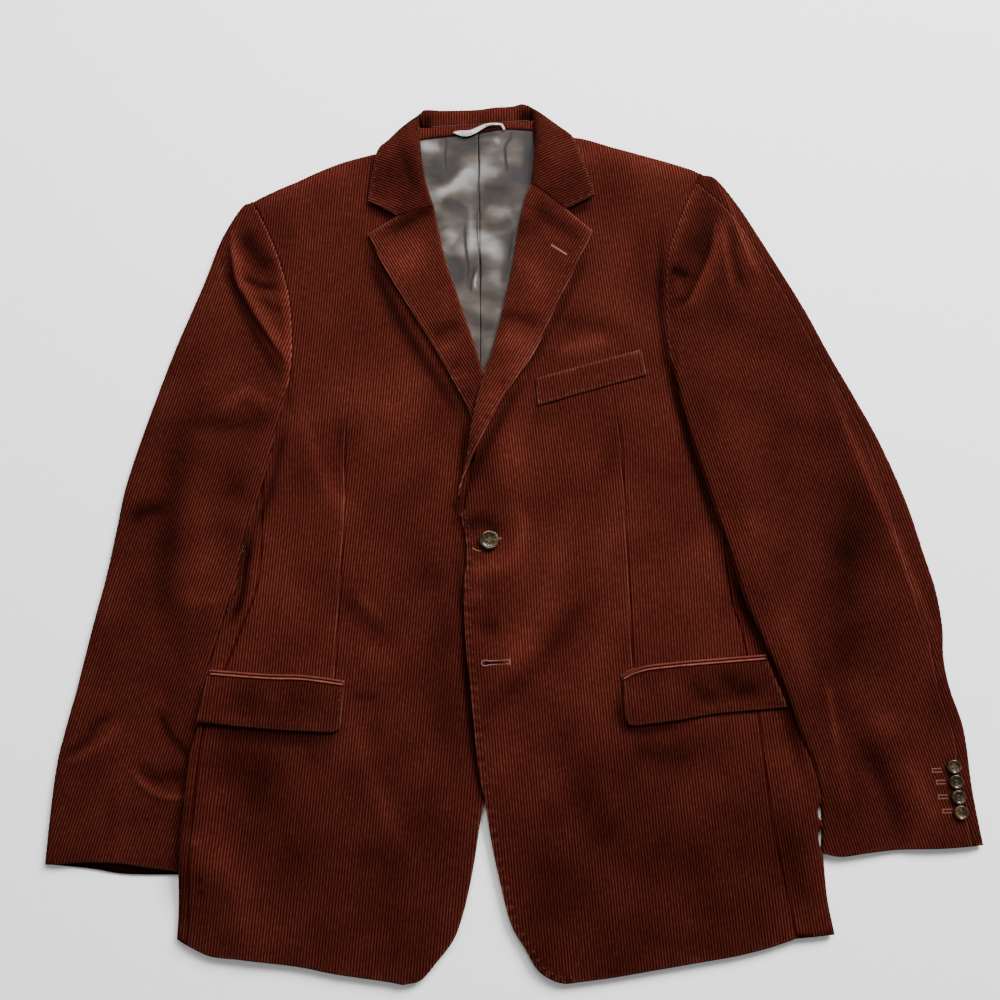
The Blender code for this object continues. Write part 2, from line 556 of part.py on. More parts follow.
def sew(name, panels, finish):
    """One node from its panels: their outer faces are welded at shared folds, then given a wall."""
    shape = bmesh.new()
    wall = shape.verts.layers.float_vector.new("wall")
    for panel in panels:
        verts = []
        for point, into, thickness in zip(panel.points(), panel.into, panel.wall):
            verts.append(shape.verts.new(point))
            verts[-1][wall] = into * thickness
        for a, b, c in panel.triangles:
            shape.faces.new((verts[a], verts[b], verts[c]))
    bmesh.ops.remove_doubles(shape, verts=shape.verts, dist=ON_LINE)
    outer = list(shape.verts)
    made = bmesh.ops.extrude_face_region(shape, geom=list(shape.faces), use_keep_orig=True)
    inner = [item for item in made["geom"] if isinstance(item, bmesh.types.BMVert)]
    assert len(inner) == len(outer)
    for vert in inner:
        vert.co += vert[wall]
    bmesh.ops.recalc_face_normals(shape, faces=shape.faces)
    mesh = bpy.data.meshes.new(name)
    shape.verts.layers.float_vector.remove(wall)
    shape.to_mesh(mesh)
    shape.free()
    mesh.shade_smooth()
    mesh.materials.append(finish_of(name, *finish))
    obj = bpy.data.objects.new(name, mesh)
    part.objects.link(obj)
    return obj


def edge(name, step, kind="cut", back=False):
    line = smooth_line(CURVES[name], step)
    return (line[::-1] if back else line), kind


SLEEVE_SHEETS = ("under", "turned", "top", "strip")


def sleeve_panels(side, step):
    """The four sheets of a sleeve: under and top sleeve, each with its turned strip."""
    lines = {name: smooth_line(points, step) for name, points in SLEEVES[side].items()}
    armhole = smooth_line(CURVES["armhole_" + side], step)
    outward = -1 if side == "r" else 1
    inner, outer, hind = lines["inner"], lines["outer"], lines["hind"]
    under_edge = shifted(inner, FORE_TURN * outward)
    under_edge[0] = inner[0] + np.array([outward * 0.75, -0.25]) * FORE_TURN
    under_edge[-1] = inner[-1] + np.array([outward * FORE_TURN, 0.0])
    cuff_under = lines["cuff_under"]
    cuff_under = cuff_under[np.abs(cuff_under[:, 0] - inner[-1, 0]) > 1.25 * FORE_TURN]
    under_armhole = armhole.copy()
    under_armhole[-1, 1] += UNDERARM_GAP
    under = Panel([(under_armhole, "cut"), (under_edge, "cut"), (cuff_under, "cut"), (outer[::-1], "fold")],
                  step, CLOTH, faces_up=False)
    strip = Panel([(outer, "fold"), (hind[::-1], "cut")], step, CLOTH)
    turned = Panel([(inner, "fold"), (under_edge[::-1], "cut")], step, CLOTH, faces_up=False)
    top = Panel([(armhole[1:], "cut"), (inner, "fold"), (lines["cuff"], "cut"), (hind[::-1], "cut")],
                step, CLOTH)
    cap = armhole[:len(armhole) // 2 + 2]
    top.thicken(SLEEVE_HEAD, HEAD_FADE, cap)
    return {"under": under, "turned": turned, "top": top, "strip": strip, "outer": outer, "inner": inner}


def lay_sleeve(side):
    sheets = sleeve_panels(side, PANEL_STEP)
    for sheet in ("under", "turned"):
        lay(sheets[sheet])
    edges = heights_on(sheets["under"], sheets["outer"])
    edges.update(heights_on(sheets["turned"], sheets["inner"]))
    word = {"r": "right", "l": "left"}[side]
    lay(sheets["top"], loft=SLEEVE_LOFT, relief="top_sleeve_" + word, edge_heights=edges)
    lay(sheets["strip"], loft=SLEEVE_LOFT, edge_heights=edges)
    return [sheets[name] for name in SLEEVE_SHEETS]


def sew_sleeve(side, sheets):
    """The top sleeve turns under at its inner fold, the under sleeve turns up at its outer one."""
    under, turned, top, strip = sheets
    word = {"r": "right", "l": "left"}[side]
    sew("top_sleeve_" + word, [top, turned], RUST)
    sew("under_sleeve_" + word, [under, strip], RUST_DARK)


# The right sleeve's lower end lies on the floor and the body's side edge lies over it.
# Its upper end lies over the body, so it is laid again once the body is there.
low_sleeve = lay_sleeve("r")
pile.top[:] = 0.0
for sheet in low_sleeve:
    pile.add(sheet, below=LIFT_TO)

# Collar leaf behind the neck, then the back
collar_leaf = Panel([edge("collar_fold_r", COLLAR_STEP, "fold", back=True),
                     edge("collar_top", COLLAR_STEP, "fold"),
                     edge("collar_fold_l", COLLAR_STEP, "fold"),
                     edge("collar_under", COLLAR_STEP, back=True)],
                    COLLAR_STEP, FRONT_CLOTH, faces_up=False)
lay(collar_leaf, rise=COLLAR_RISE)
collar_edges = {}
for name in ("collar_fold_r", "collar_top", "collar_fold_l"):
    collar_edges.update(heights_on(collar_leaf, edge(name, COLLAR_STEP)[0]))

for side, word in (("r", "right"), ("l", "left")):
    back = Panel([edge("centre_back", HIDDEN_STEP), edge("vent_" + side, HIDDEN_STEP),
                  edge("back_hem_" + side, HIDDEN_STEP, back=True),
                  edge("back_seam_" + side, HIDDEN_STEP, back=True),
                  edge("back_underarm_" + side, HIDDEN_STEP, back=True),
                  edge("armhole_" + side, PANEL_STEP, back=True),
                  edge("shoulder_" + side, PANEL_STEP, back=True),
                  edge("back_neck_" + side, PANEL_STEP, back=True)],
                 HIDDEN_STEP, CLOTH, faces_up=False)
    sew("back_" + word, [lay(back)], RUST_DARK)

# Side panels: the part underneath now, the strip that turns up over the edge with the fronts
side_under, side_edges = {}, {}
for side in ("r", "l"):
    fold = edge("side_fold_" + side, PANEL_STEP, "fold")
    seam = edge("back_seam_" + side, HIDDEN_STEP, back=True)
    side_under[side] = lay(Panel([fold, seam], PANEL_STEP, CLOTH, faces_up=False), rise=SIDE_RISE)
    side_edges[side] = heights_on(side_under[side], fold[0])

# Lining, neck facing and hanger loop, which show inside the neck
for side, word in (("r", "right"), ("l", "left")):
    lining = lay(Panel([edge("facing_low_" + side, PANEL_STEP), edge("lining_side_" + side, PANEL_STEP),
                        edge("lining_seam", PANEL_STEP, back=True)], PANEL_STEP, LINING_CLOTH),
                 relief="back_lining_" + word)
    sew("back_lining_" + word, [lining], TAUPE)
facing = lay(Panel([edge("facing_top", PANEL_STEP), edge("facing_low_l", PANEL_STEP, back=True),
                    edge("facing_low_r", PANEL_STEP)], PANEL_STEP, FACING_CLOTH))
sew("back_neck_facing", [facing], RUST)


def sewn_on(name, wall, finish, lines=None, step=0.012):
    """A small piece that lies on a panel: a pocket part or the hanger loop."""
    lines = lines or [smooth_line(points, step) for points in POCKETS[name]]
    panel = lay(Panel([(line, "cut") for line in lines], step, wall))
    sew(name, [panel], finish)


def hip_pocket(word):
    """A flap and, along its top edge, the narrow jet of the pocket's mouth."""
    flap_top = smooth_line(POCKETS["pocket_flap_" + word][0], 0.012)
    low, high = shifted(flap_top, JET_GAP), shifted(flap_top, JET_GAP + JET_WIDTH)
    sewn_on("pocket_jet_" + word, TRIM_CLOTH, RUST, [low, high[::-1]])
    sewn_on("pocket_flap_" + word, FLAP_CLOTH, RUST)


sewn_on("hanger_loop", TRIM_CLOTH, SILVER)


def front(side, word):
    v_line = smooth_line(CURVES["roll_" + side] + CURVES["neck_roll_" + side][1:], PANEL_STEP)
    v_line = shifted(v_line, ROLL_INSET * (1 if side == "r" else -1))
    v_line = v_line[v_line[:, 1] < FRONT_NECK_TOP]
    seam, shoulder = edge("side_seam_" + side, PANEL_STEP), edge("shoulder_" + side, PANEL_STEP, "roll")
    front_edge = edge("edge_" + side, PANEL_STEP)
    outline = [shoulder, edge("armhole_" + side, PANEL_STEP), edge("underarm_" + side, PANEL_STEP), seam,
               edge("hem_" + side, PANEL_STEP), (front_edge[0][:-1], "cut"), (v_line, "cut")]
    panel = Panel(outline, PANEL_STEP, FRONT_CLOTH)
    panel.thicken(SHOULDER_PAD, PAD_FADE, shoulder[0][len(shoulder[0]) // 2:])
    lay(panel, level=FRONT_LEVEL, relief="front_" + word)
    sew("front_" + word, [panel], RUST)
    fold = edge("side_fold_" + side, PANEL_STEP, "fold")
    strip = Panel([fold, (seam[0][::-1], "cut")], PANEL_STEP, CLOTH)
    lay(strip, loft=SIDE_LOFT, level=FRONT_LEVEL, edge_heights=side_edges[side])
    sew("side_" + word, [side_under[side], strip], RUST_DARK)


def lapel(side, word):
    panel = Panel([edge("roll_" + side, PANEL_STEP, "roll"), edge("gorge_" + side, PANEL_STEP),
                   edge("lapel_top_" + side, PANEL_STEP), edge("lapel_" + side, PANEL_STEP)],
                  PANEL_STEP, FRONT_CLOTH)
    lay(panel, loft=LAPEL_LOFT, relief="lapel_" + word)
    sew("lapel_" + word, [panel], RUST)


def button(name, place, diameter, covered=False):
    """A turned button with a raised rim, standing just clear of what it is sewn on."""
    radius = diameter / 2
    x, y = np.array(place) * MM
    rows, cols = np.indices(pile.shape)
    near = np.hypot((cols + 0.5) * pile.cell - pile.reach[0] - x,
                    (rows + 0.5) * pile.cell - pile.reach[1] - y) < radius + pile.cell
    profile = [(0, 0.62), (0.55, 0.66), (0.72, 0.95), (0.84, 1.0), (0.95, 0.85), (1.0, 0.5), (0.9, 0),
               (0, 0)]
    mesh = bpy.data.meshes.new(name)
    mesh.from_pydata([(radius * r, 0, BUTTON_T * h) for r, h in profile],
                     [(i, i + 1) for i in range(len(profile) - 1)], [])
    mesh.materials.append(finish_of(name, *HORN))
    obj = bpy.data.objects.new(name, mesh)
    part.objects.link(obj)
    turn = obj.modifiers.new("turned", "SCREW")
    turn.steps = turn.render_steps = 16
    turn.use_merge_vertices = True
    turn.merge_threshold = 0.00002
    turn.use_smooth_shade = True
    obj.location = (x, y, pile.top[near].max() + BUTTON_GAP)
    if covered:
        pile.top[near] = obj.location.z + BUTTON_T


front("r", "right")
hip_pocket("right")
lapel("r", "right")
button("under_button", LOWER_BUTTON, FRONT_BUTTON_D, covered=True)
front("l", "left")
hip_pocket("left")
sewn_on("chest_pocket_welt", TRIM_CLOTH, RUST)
lapel("l", "left")
button("front_button", FRONT_BUTTON, FRONT_BUTTON_D)

# Collar: the leaf behind the neck carries two wings and the stand, all turned over its folds
wings = []
for side in ("r", "l"):
    wing = Panel([edge("neck_roll_" + side, COLLAR_STEP, "roll"),
                  edge("collar_fold_" + side, COLLAR_STEP, "fold"),
                  edge("collar_leaf_" + side, COLLAR_STEP), edge("collar_end_" + side, COLLAR_STEP),
                  edge("gorge_" + side, COLLAR_STEP, back=True)], COLLAR_STEP, FRONT_CLOTH)
    wings.append(lay(wing, loft=LAPEL_LOFT, relief="collar_" + side, edge_heights=collar_edges))
top_fold, stand_seam = edge("collar_top", COLLAR_STEP, "fold"), edge("stand_seam", COLLAR_STEP, back=True)
stand = lay(Panel([top_fold, stand_seam], COLLAR_STEP, FRONT_CLOTH), level=STAND_LEVEL,
            edge_heights=collar_edges)
sew("collar", [collar_leaf, wings[0], stand, wings[1]], RUST)

# Sleeves over the body
high_sleeve = lay_sleeve("r")
for low, high in zip(low_sleeve, high_sleeve):
    lower = np.clip((high.flat[:, 1] - LIFT_FROM) / (LIFT_TO - LIFT_FROM), 0, 1)
    lower = lower * lower * (3 - 2 * lower)
    high.z = high.z * (1 - lower) + low.z * lower
sew_sleeve("r", high_sleeve)
sew_sleeve("l", lay_sleeve("l"))
for number, place in enumerate(CUFF_BUTTONS, 1):
    button("cuff_button_left_%d" % number, place, CUFF_BUTTON_D)

# The part's origin is under the middle of its box
bpy.context.view_layer.update()
graph = bpy.context.evaluated_depsgraph_get()
corners = []
for obj in part.objects:
    shown = obj.evaluated_get(graph)
    corners += [shown.matrix_world @ vert.co for vert in shown.data.vertices]
low = Vector([min(c[k] for c in corners) for k in range(3)])
high = Vector([max(c[k] for c in corners) for k in range(3)])
middle = (low + high) / 2
for obj in part.objects:
    obj.location -= Vector((middle.x, middle.y, low.z))
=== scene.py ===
import math

import bpy
import numpy as np
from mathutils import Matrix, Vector, geometry, kdtree
from mathutils.bvhtree import BVHTree


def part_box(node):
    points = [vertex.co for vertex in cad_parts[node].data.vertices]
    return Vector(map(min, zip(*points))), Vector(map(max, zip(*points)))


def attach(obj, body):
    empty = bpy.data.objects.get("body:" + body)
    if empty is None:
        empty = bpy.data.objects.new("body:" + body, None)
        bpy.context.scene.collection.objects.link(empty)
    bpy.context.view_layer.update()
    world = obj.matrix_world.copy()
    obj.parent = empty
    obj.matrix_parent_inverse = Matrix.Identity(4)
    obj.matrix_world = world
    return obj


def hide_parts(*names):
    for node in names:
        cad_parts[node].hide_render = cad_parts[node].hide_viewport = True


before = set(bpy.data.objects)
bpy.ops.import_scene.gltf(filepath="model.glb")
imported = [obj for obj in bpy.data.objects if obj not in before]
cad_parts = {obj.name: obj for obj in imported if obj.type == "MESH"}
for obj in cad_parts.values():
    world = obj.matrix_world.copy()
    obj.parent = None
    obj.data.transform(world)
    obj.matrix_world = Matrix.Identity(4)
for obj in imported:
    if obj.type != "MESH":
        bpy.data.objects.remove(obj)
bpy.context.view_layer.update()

# A corduroy jacket laid flat on its back. Right and left are the wearer's: the right side is
# at -X, the neck at +Y. The tables below are in millimetres on the table top, and tableShift
# takes them into the frame.
mm = 0.001
sides = {"R": "right", "L": "left"}
buttonAt = (-0.023, -0.027)        # the front button in the tables
buttonLow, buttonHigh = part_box("front_button")
tableShift = np.array([(buttonLow.x + buttonHigh.x) / 2 - buttonAt[0],
                       (buttonLow.y + buttonHigh.y) / 2 - buttonAt[1]])


def addObject(name, data):
    made = bpy.data.objects.new(name, data)
    bpy.context.scene.collection.objects.link(made)
    return made


cameraFrom = {"place": (-0.01288, -0.16663, 1.02420), "tilt": 10.0, "lens": 38.88, "sensor": 36.0}
lens = bpy.data.cameras.new("camera")
lens.lens, lens.sensor_width = cameraFrom["lens"], cameraFrom["sensor"]
camera = addObject("camera", lens)
camera.location = Vector(cameraFrom["place"]) + Vector((tableShift[0], tableShift[1], 0))
camera.rotation_euler = (math.radians(cameraFrom["tilt"]), 0, 0)
bpy.context.scene.camera = camera

cloth = {
    "wale": 2.68 * mm,        # from rib to rib
    "pile": 0.62 * mm,        # height of a rib
    "perWale": 4,             # mesh columns to a wale
    "row": 6 * mm,            # mesh rows along the wales
    "hiddenRow": 12 * mm,
    "lining": 14 * mm,        # mesh spacing of the wrong side
    "wall": 1.7,
    "inset": 0.15 * mm,       # each piece ends this far inside its seam lines,
    "sewn": -0.06 * mm,       # or a little past them where it meets the next piece
    "edgeRound": 1.6 * mm,    # how far from an edge the cloth begins to turn down
    "rollRound": 6 * mm,
    "rollDrop": 3.0 * mm,
    "foldRound": (3 * mm, 8 * mm),
    "seat": 9.0 * mm,         # a sewn edge comes to its neighbour's height over this
    "overFloor": 0.05 * mm,
    "underFaceOverFloor": 0.15 * mm,
    "underFolds": 8.0,        # how much wider the folds' troughs are in the wrong side
    "laidDown": 0.97,         # how much of a rib's height goes where the cloth turns over
    # the wrong side's wear and nap are set low: painted shade down the cut edges' walls and on the inside of
    # a sleeve where it shows at the cuff
    "wrongSide": (0.25, 0, -1, -0.8),    # wale, length, wear and nap of the wrong side
}

# Seams, folded edges and cut edges
lines = {
    # the wearer's right side
    "shoulderR": [(-105, 387), (-127, 371), (-142, 368), (-175, 358), (-215, 339), (-262, 318)],
    "armholeR": [(-262, 318), (-245, 285), (-231, 250), (-222, 218), (-218, 184), (-217, 150),
        (-220, 118)],
    "underarmR": [(-220, 118), (-232, 98), (-240, 66)],
    "backUnderarmR": [(-220, 118), (-214, 88), (-205, 62)],
    "sideSeamR": [(-240, 66), (-240, 20), (-239, -45), (-243, -75), (-253, -104), (-266, -140),
        (-278, -175), (-285, -203), (-288, -240), (-291, -306), (-292, -344), (-292, -391)],
    "sideFoldR": [(-254, 60), (-252.5, 10), (-255.6, -22), (-260.2, -50), (-262.3, -72), (-271.1, -95),
        (-279.2, -121), (-284.6, -150), (-291, -195), (-297, -225), (-299, -260), (-301, -300),
        (-302, -386)],
    "backSeamR": [(-205, 62), (-203, 0), (-206, -80), (-228, -140), (-244, -200), (-251, -270),
        (-252, -384)],
    "hemR": [(-292, -391), (-271, -400), (-243, -403), (-192, -409), (-160, -415), (-116, -421),
        (-99, -424)],
    "edgeR": [(-99, -424), (-83, -420), (-69, -405), (-54, -386), (-46, -365), (-40, -341), (-35, -314),
        (-29, -276), (-19, -238), (-11, -175), (-5, -101), (-1, -27), (-1, -11)],
    "rollR": [(-1, -11), (-8, 42), (-18, 92), (-30, 143), (-54, 217), (-68, 260), (-79, 311)],
    "neckRollR": [(-79, 311), (-88, 340), (-92, 365), (-94, 392), (-95, 415)],
    "gorgeR": [(-79, 311), (-115, 300)],
    "lapelTopR": [(-115, 300), (-144, 281)],
    "lapelR": [(-144, 281), (-128, 246), (-102, 204), (-79, 166), (-59, 131), (-42, 97), (-27, 62),
        (-13, 23), (-1, -11)],
    "collarEndR": [(-145, 315), (-115, 300)],
    "collarLeafR": [(-132, 377), (-138, 363), (-143, 330), (-145, 315)],
    "collarFoldR": [(-95, 415), (-116, 396), (-132, 377)],
    # the wearer's left side
    "shoulderL": [(38, 398), (59, 388), (74, 385), (109, 373.5), (149, 362), (190, 348.5)],
    "armholeL": [(190, 348.5), (176, 318), (167, 297), (157, 269), (153, 243), (152, 210), (152, 184),
        (154, 150)],
    "underarmL": [(154, 150), (168, 126), (186, 96), (203, 66)],
    "backUnderarmL": [(154, 150), (160, 100), (180, 62)],
    "sideSeamL": [(203, 66), (201, 0), (201, -45), (206, -86), (213, -110), (218, -139), (226, -187),
        (230, -230), (233, -265), (238, -305), (245, -343), (252, -385)],
    "sideFoldL": [(230, 60), (229, 0), (231, -40), (240, -90), (251, -139), (263.5, -195), (275.2, -232),
        (280.8, -256), (282, -267), (277.6, -273), (277.6, -280), (282, -287), (277.4, -294), (277, -304),
        (280, -313), (282, -350), (287, -382)],
    "backSeamL": [(180, 62), (178, 0), (181, -40), (190, -90), (200, -139), (210, -195), (219, -240),
        (224, -300), (231, -350), (236, -382)],
    "hemL": [(252, -385), (227, -393), (197, -400), (161, -406), (124, -412), (87, -418), (55, -422)],
    "edgeL": [(55, -422), (45, -423), (33, -420), (20, -411), (9, -393), (-3, -373), (-12, -341),
        (-21, -301), (-27, -264), (-32, -242), (-39, -178), (-42, -152), (-45, -122), (-47, -81),
        (-46, -60), (-44, -45), (-45, -27), (-49, -10), (-53, 4)],
    "rollL": [(-53, 4), (-53, 18), (-50, 32), (-45, 55), (-38, 99), (-29, 137), (-21, 162), (-13, 193),
        (-3, 240), (3, 277), (10, 314), (18, 336)],
    "neckRollL": [(18, 336), (21, 366), (20, 392), (17, 423.5)],
    "gorgeL": [(18, 336), (53, 308)],
    "lapelTopL": [(53, 308), (80, 284)],
    "lapelL": [(80, 284), (62, 246), (39, 198), (20, 157), (-6, 118), (-25, 82), (-41, 49), (-49, 28),
        (-53, 4)],
    "collarEndL": [(81, 321), (53, 308)],
    "collarLeafL": [(60, 386), (67, 370), (74, 350), (81, 328), (81, 321)],
    "collarFoldL": [(17, 423.5), (26, 417), (36, 409), (49, 397), (60, 386)],
    # the middle of the back and the neck
    "collarTop": [(-95, 415), (-89, 419), (-67, 418), (-28, 419.5), (0, 423), (9, 425.5), (17, 423.5)],
    "collarUnder": [(-132, 377), (-100, 373), (-40, 375), (20, 381), (60, 386)],
    "standSeam": [(-92, 398.5), (-64, 400), (-28, 402), (5, 405), (18, 405)],
    "backNeckR": [(-33, 398), (-70, 396), (-105, 387)],
    "backNeckL": [(-33, 398), (5, 400), (38, 398)],
    "centreBack": [(-33, 398), (-34, 100), (-28, -261)],
    "ventR": [(-28, -261), (-78, -408)],
    "ventL": [(-28, -261), (33, -408)],
    "backHemR": [(-252, -384), (-190, -400), (-130, -407), (-78, -408)],
    "backHemL": [(236, -382), (180, -392), (100, -406), (33, -408)],
    "facingTop": [(-98, 397), (-64, 399.6), (-28, 401.6), (5, 404.6), (27, 404)],
    "facingLowR": [(-35, 391), (-61, 388), (-98, 383)],
    "facingLowL": [(-35, 391), (-8, 395), (27, 393)],
    "liningSeam": [(-35, 391), (-33, 260), (-32, 116)],
    "liningSideR": [(-98, 383), (-113, 370), (-112, 310), (-88, 217), (-62, 135), (-32, 116)],
    "liningSideL": [(27, 393), (46, 378), (44, 310), (24, 230), (2, 145), (-32, 116)],
    # sleeves: the outer fold hangs away from the body, the hind seam runs just inside it
    "outerR": [(-265, 317.5), (-272, 314), (-283, 296), (-294, 272), (-307, 232), (-329, 172),
        (-350, 107), (-371, 33), (-379, -16), (-386, -62), (-396, -109), (-407, -167), (-419, -225),
        (-423, -270), (-425, -322)],
    "hindR": [(-258.5, 308), (-271, 286), (-284, 260), (-297, 228), (-318, 172), (-339, 107), (-358, 38),
        (-367, -12), (-375, -60), (-385, -109), (-396, -167), (-408, -225), (-413, -280), (-414, -322)],
    "innerR": [(-220, 118), (-226, 92), (-234, 48), (-244, 10), (-256, -26), (-260, -50), (-262, -72),
        (-271, -95), (-279, -121), (-284, -152), (-285, -200), (-283, -260), (-281, -330)],
    "cuffR": [(-281, -330), (-304, -328), (-336, -324), (-359, -321), (-389, -320), (-414, -322)],
    "cuffUnderR": [(-281, -330), (-304, -331), (-336, -331), (-359, -330), (-383, -326), (-425, -322)],
    "outerL": [(192, 348), (206, 343), (227, 314.5), (241, 291), (264, 250), (288, 206), (311, 158),
        (333, 115), (355, 69), (376, 13), (389, -35), (399, -74), (403, -108), (402, -137), (406, -166),
        (416, -203), (420, -258), (426, -305)],
    "hindL": [(187.5, 336), (211, 314), (229, 289), (253, 249), (277, 205), (300, 157), (322, 114),
        (342, 69), (357, 13), (367, -38), (379, -85), (388, -117), (391, -140), (395, -170), (405, -205),
        (409, -258), (415, -306)],
    "innerL": [(154, 150), (161, 112), (170, 74), (181, 36), (192, -2), (201, -29), (216, -84),
        (231, -119), (247, -157), (255, -181), (265, -211), (273.5, -231), (278.5, -256), (280, -280),
        (278, -312)],
    "cuffL": [(278, -312), (296, -315), (320, -312), (350, -309), (389, -308), (415, -306)],
    "cuffUnderL": [(278, -312), (296, -315), (320, -312), (350, -309), (389, -308), (426, -305)],
    # darts, with the line that carries each one on to the shoulder and under the pocket flap
    "dartR": [(-139.5, 368.5), (-151, 220), (-162, 75), (-161, 8), (-164, -85), (-166, -139),
        (-167, -171)],
    "dartL": [(62, 381.5), (82, 232), (102, 86), (105, 47), (108, -18), (109, -54), (111, -143),
        (112, -171)],
    "pocketR": [(-167, -171), (-222, -168), (-274.4, -164)],
    "pocketL": [(112, -171), (165, -164), (221, -157)],
}


def lengthsAlong(points):
    return np.concatenate([[0], np.cumsum(np.hypot(*np.diff(points, axis=0).T))])


def placesAt(line, marks):
    # the places on a line at some lengths along it
    length = lengthsAlong(line)
    return np.column_stack([np.interp(marks, length, line[:, k]) for k in (0, 1)])


def curveThrough(points):
    # Catmull-Rom through the points, in metres in the frame, with a point every half millimetre
    points = np.array(points, float) * mm + tableShift
    if len(points) > 2:
        padded = np.vstack([2 * points[0] - points[1], points, 2 * points[-1] - points[-2]])
        t = np.linspace(0, 1, 12, endpoint=False)[:, None]
        fine = []
        for before, start, end, after in zip(padded, padded[1:], padded[2:], padded[3:]):
            fine.append(0.5 * (2 * start + (end - before) * t
                               + (2 * before - 5 * start + 4 * end - after) * t**2
                               + (3 * start - before - 3 * end + after) * t**3))
        points = np.vstack(fine + [points[-1:]])
    total = lengthsAlong(points)[-1]
    return placesAt(points, np.linspace(0, total, max(2, int(total / (0.5 * mm)))))


def directions(line):
    along = np.gradient(line, axis=0)
    return along / np.hypot(*along.T)[:, None]


def sideways(line, distance):
    # the line moved to its left
    along = directions(line)
    return line + distance * np.column_stack([-along[:, 1], along[:, 0]])


def nearestPoint(line, place):
    return np.hypot(*(line - place).T).argmin()


def gridOf(first, second):
    return np.stack(np.meshgrid(first, second), -1).reshape(-1, 2)


def bell(away, width):
    return np.exp(-(away / width)**2)


def rounded(away, reach):
    # 1 at an edge, falling to 0 over the reach as a round edge does
    lean = 1 - np.clip(away / reach, 0, 1)
    return 1 - np.sqrt(1 - lean**2)


class Grain:
    # The run of the wales over a piece: u counts across them from a centreline, v along it.
    step, beyond, batch = 0.003, 0.9, 2000

    def __init__(self, points, column, row):
        line = curveThrough(points)
        ends = [line[0] - line[4], line[-1] - line[-5]]
        ends = [end / np.hypot(*end) for end in ends]
        reach = np.arange(self.step, self.beyond, self.step)[:, None]
        line = np.vstack([(line[0] + reach * ends[0])[::-1], line[::6], line[-1] + reach * ends[1]])
        self.centre = placesAt(line, np.arange(0, lengthsAlong(line)[-1], self.step))
        self.along = directions(self.centre)
        self.across = np.column_stack([self.along[:, 1], -self.along[:, 0]])
        self.column, self.row = column, row

    def between(self, near, t):
        # the centreline and the way across it, part of the way to the next of its points
        return [line[near] * (1 - t) + line[near + 1] * t for line in (self.centre, self.across)]

    def pattern(self, xy):
        found = []
        for some in np.array_split(xy, max(1, len(xy) // self.batch)):
            apart = some[:, None] - self.centre[None]
            near = np.clip((apart**2).sum(2).argmin(1), 1, len(self.centre) - 2)
            rows = np.arange(len(some))
            ahead = (apart[rows, near] * self.along[near]).sum(1)
            near = np.where(ahead < 0, near - 1, near)
            first = (apart[rows, near] * self.along[near]).sum(1)
            second = (apart[rows, near + 1] * self.along[near + 1]).sum(1)
            t = first / np.maximum(first - second, 1e-9)
            centre, across = self.between(near, t[:, None])
            u = ((some - centre) * across).sum(1) / (across**2).sum(1)
            found.append(np.column_stack([u, (near + t) * self.step]))
        return np.vstack(found)

    def place(self, uv):
        near = np.clip((uv[:, 1] / self.step).astype(int), 0, len(self.centre) - 2)
        centre, across = self.between(near, (uv[:, 1] / self.step - near)[:, None])
        return centre + uv[:, :1] * across


def wales(points, row="row"):
    return Grain(points, cloth["wale"] / cloth["perWale"], cloth[row])


def pointsAlong(line, grain=None, most=3 * mm, least=0.25 * mm):
    # the points of an edge: where it crosses the mesh columns, and others between them
    if (line[0, 1], line[0, 0]) > (line[-1, 1], line[-1, 0]):
        return pointsAlong(line[::-1], grain, most)[::-1]
    length = lengthsAlong(line)
    marks = []
    if grain is not None:
        across = grain.pattern(line)[:, 0] / grain.column
        for i in np.nonzero(np.floor(across[:-1]) != np.floor(across[1:]))[0]:
            whole = np.floor(max(across[i], across[i + 1]))
            t = (whole - across[i]) / (across[i + 1] - across[i])
            marks.append(length[i] + t * (length[i + 1] - length[i]))
    kept = [0.0]
    for mark in sorted(marks) + [length[-1]]:
        if mark == length[-1] and mark - kept[-1] < least and len(kept) > 1:
            kept.pop()
        if mark - kept[-1] >= least or mark == length[-1]:
            count = int(math.ceil((mark - kept[-1]) / most))
            kept += list(np.linspace(kept[-1], mark, count + 1)[1:])
    return placesAt(line, kept)


def insideLoop(loop, points):
    hit = np.zeros(len(points), bool)
    for (x0, y0), (x1, y1) in zip(loop, np.roll(loop, -1, axis=0)):
        crosses = np.nonzero((y0 > points[:, 1]) != (y1 > points[:, 1]))[0]
        if len(crosses):
            at = (x1 - x0) * (points[crosses, 1] - y0) / (y1 - y0) + x0
            hit[crosses] ^= points[crosses, 0] < at
    return hit


def turning(loop):
    # twice the area inside a loop, below 0 where it runs clockwise
    return (loop[:, 0] * np.roll(loop[:, 1], -1) - np.roll(loop[:, 0], -1) * loop[:, 1]).sum()


class Nearest:
    # distance of points from some lines, and which point of them is nearest
    def __init__(self, runs):
        self.points = np.vstack(runs)
        self.tree = kdtree.KDTree(len(self.points))
        for i, (x, y) in enumerate(self.points):
            self.tree.insert((x, y, 0), i)
        self.tree.balance()

    def find(self, xy):
        found = [self.tree.find((x, y, 0)) for x, y in xy]
        return np.array([f[2] for f in found]), np.array([f[1] for f in found])


def awayFrom(lines, xy, every=2):
    return Nearest([line[::every] for line in lines]).find(xy)[0]


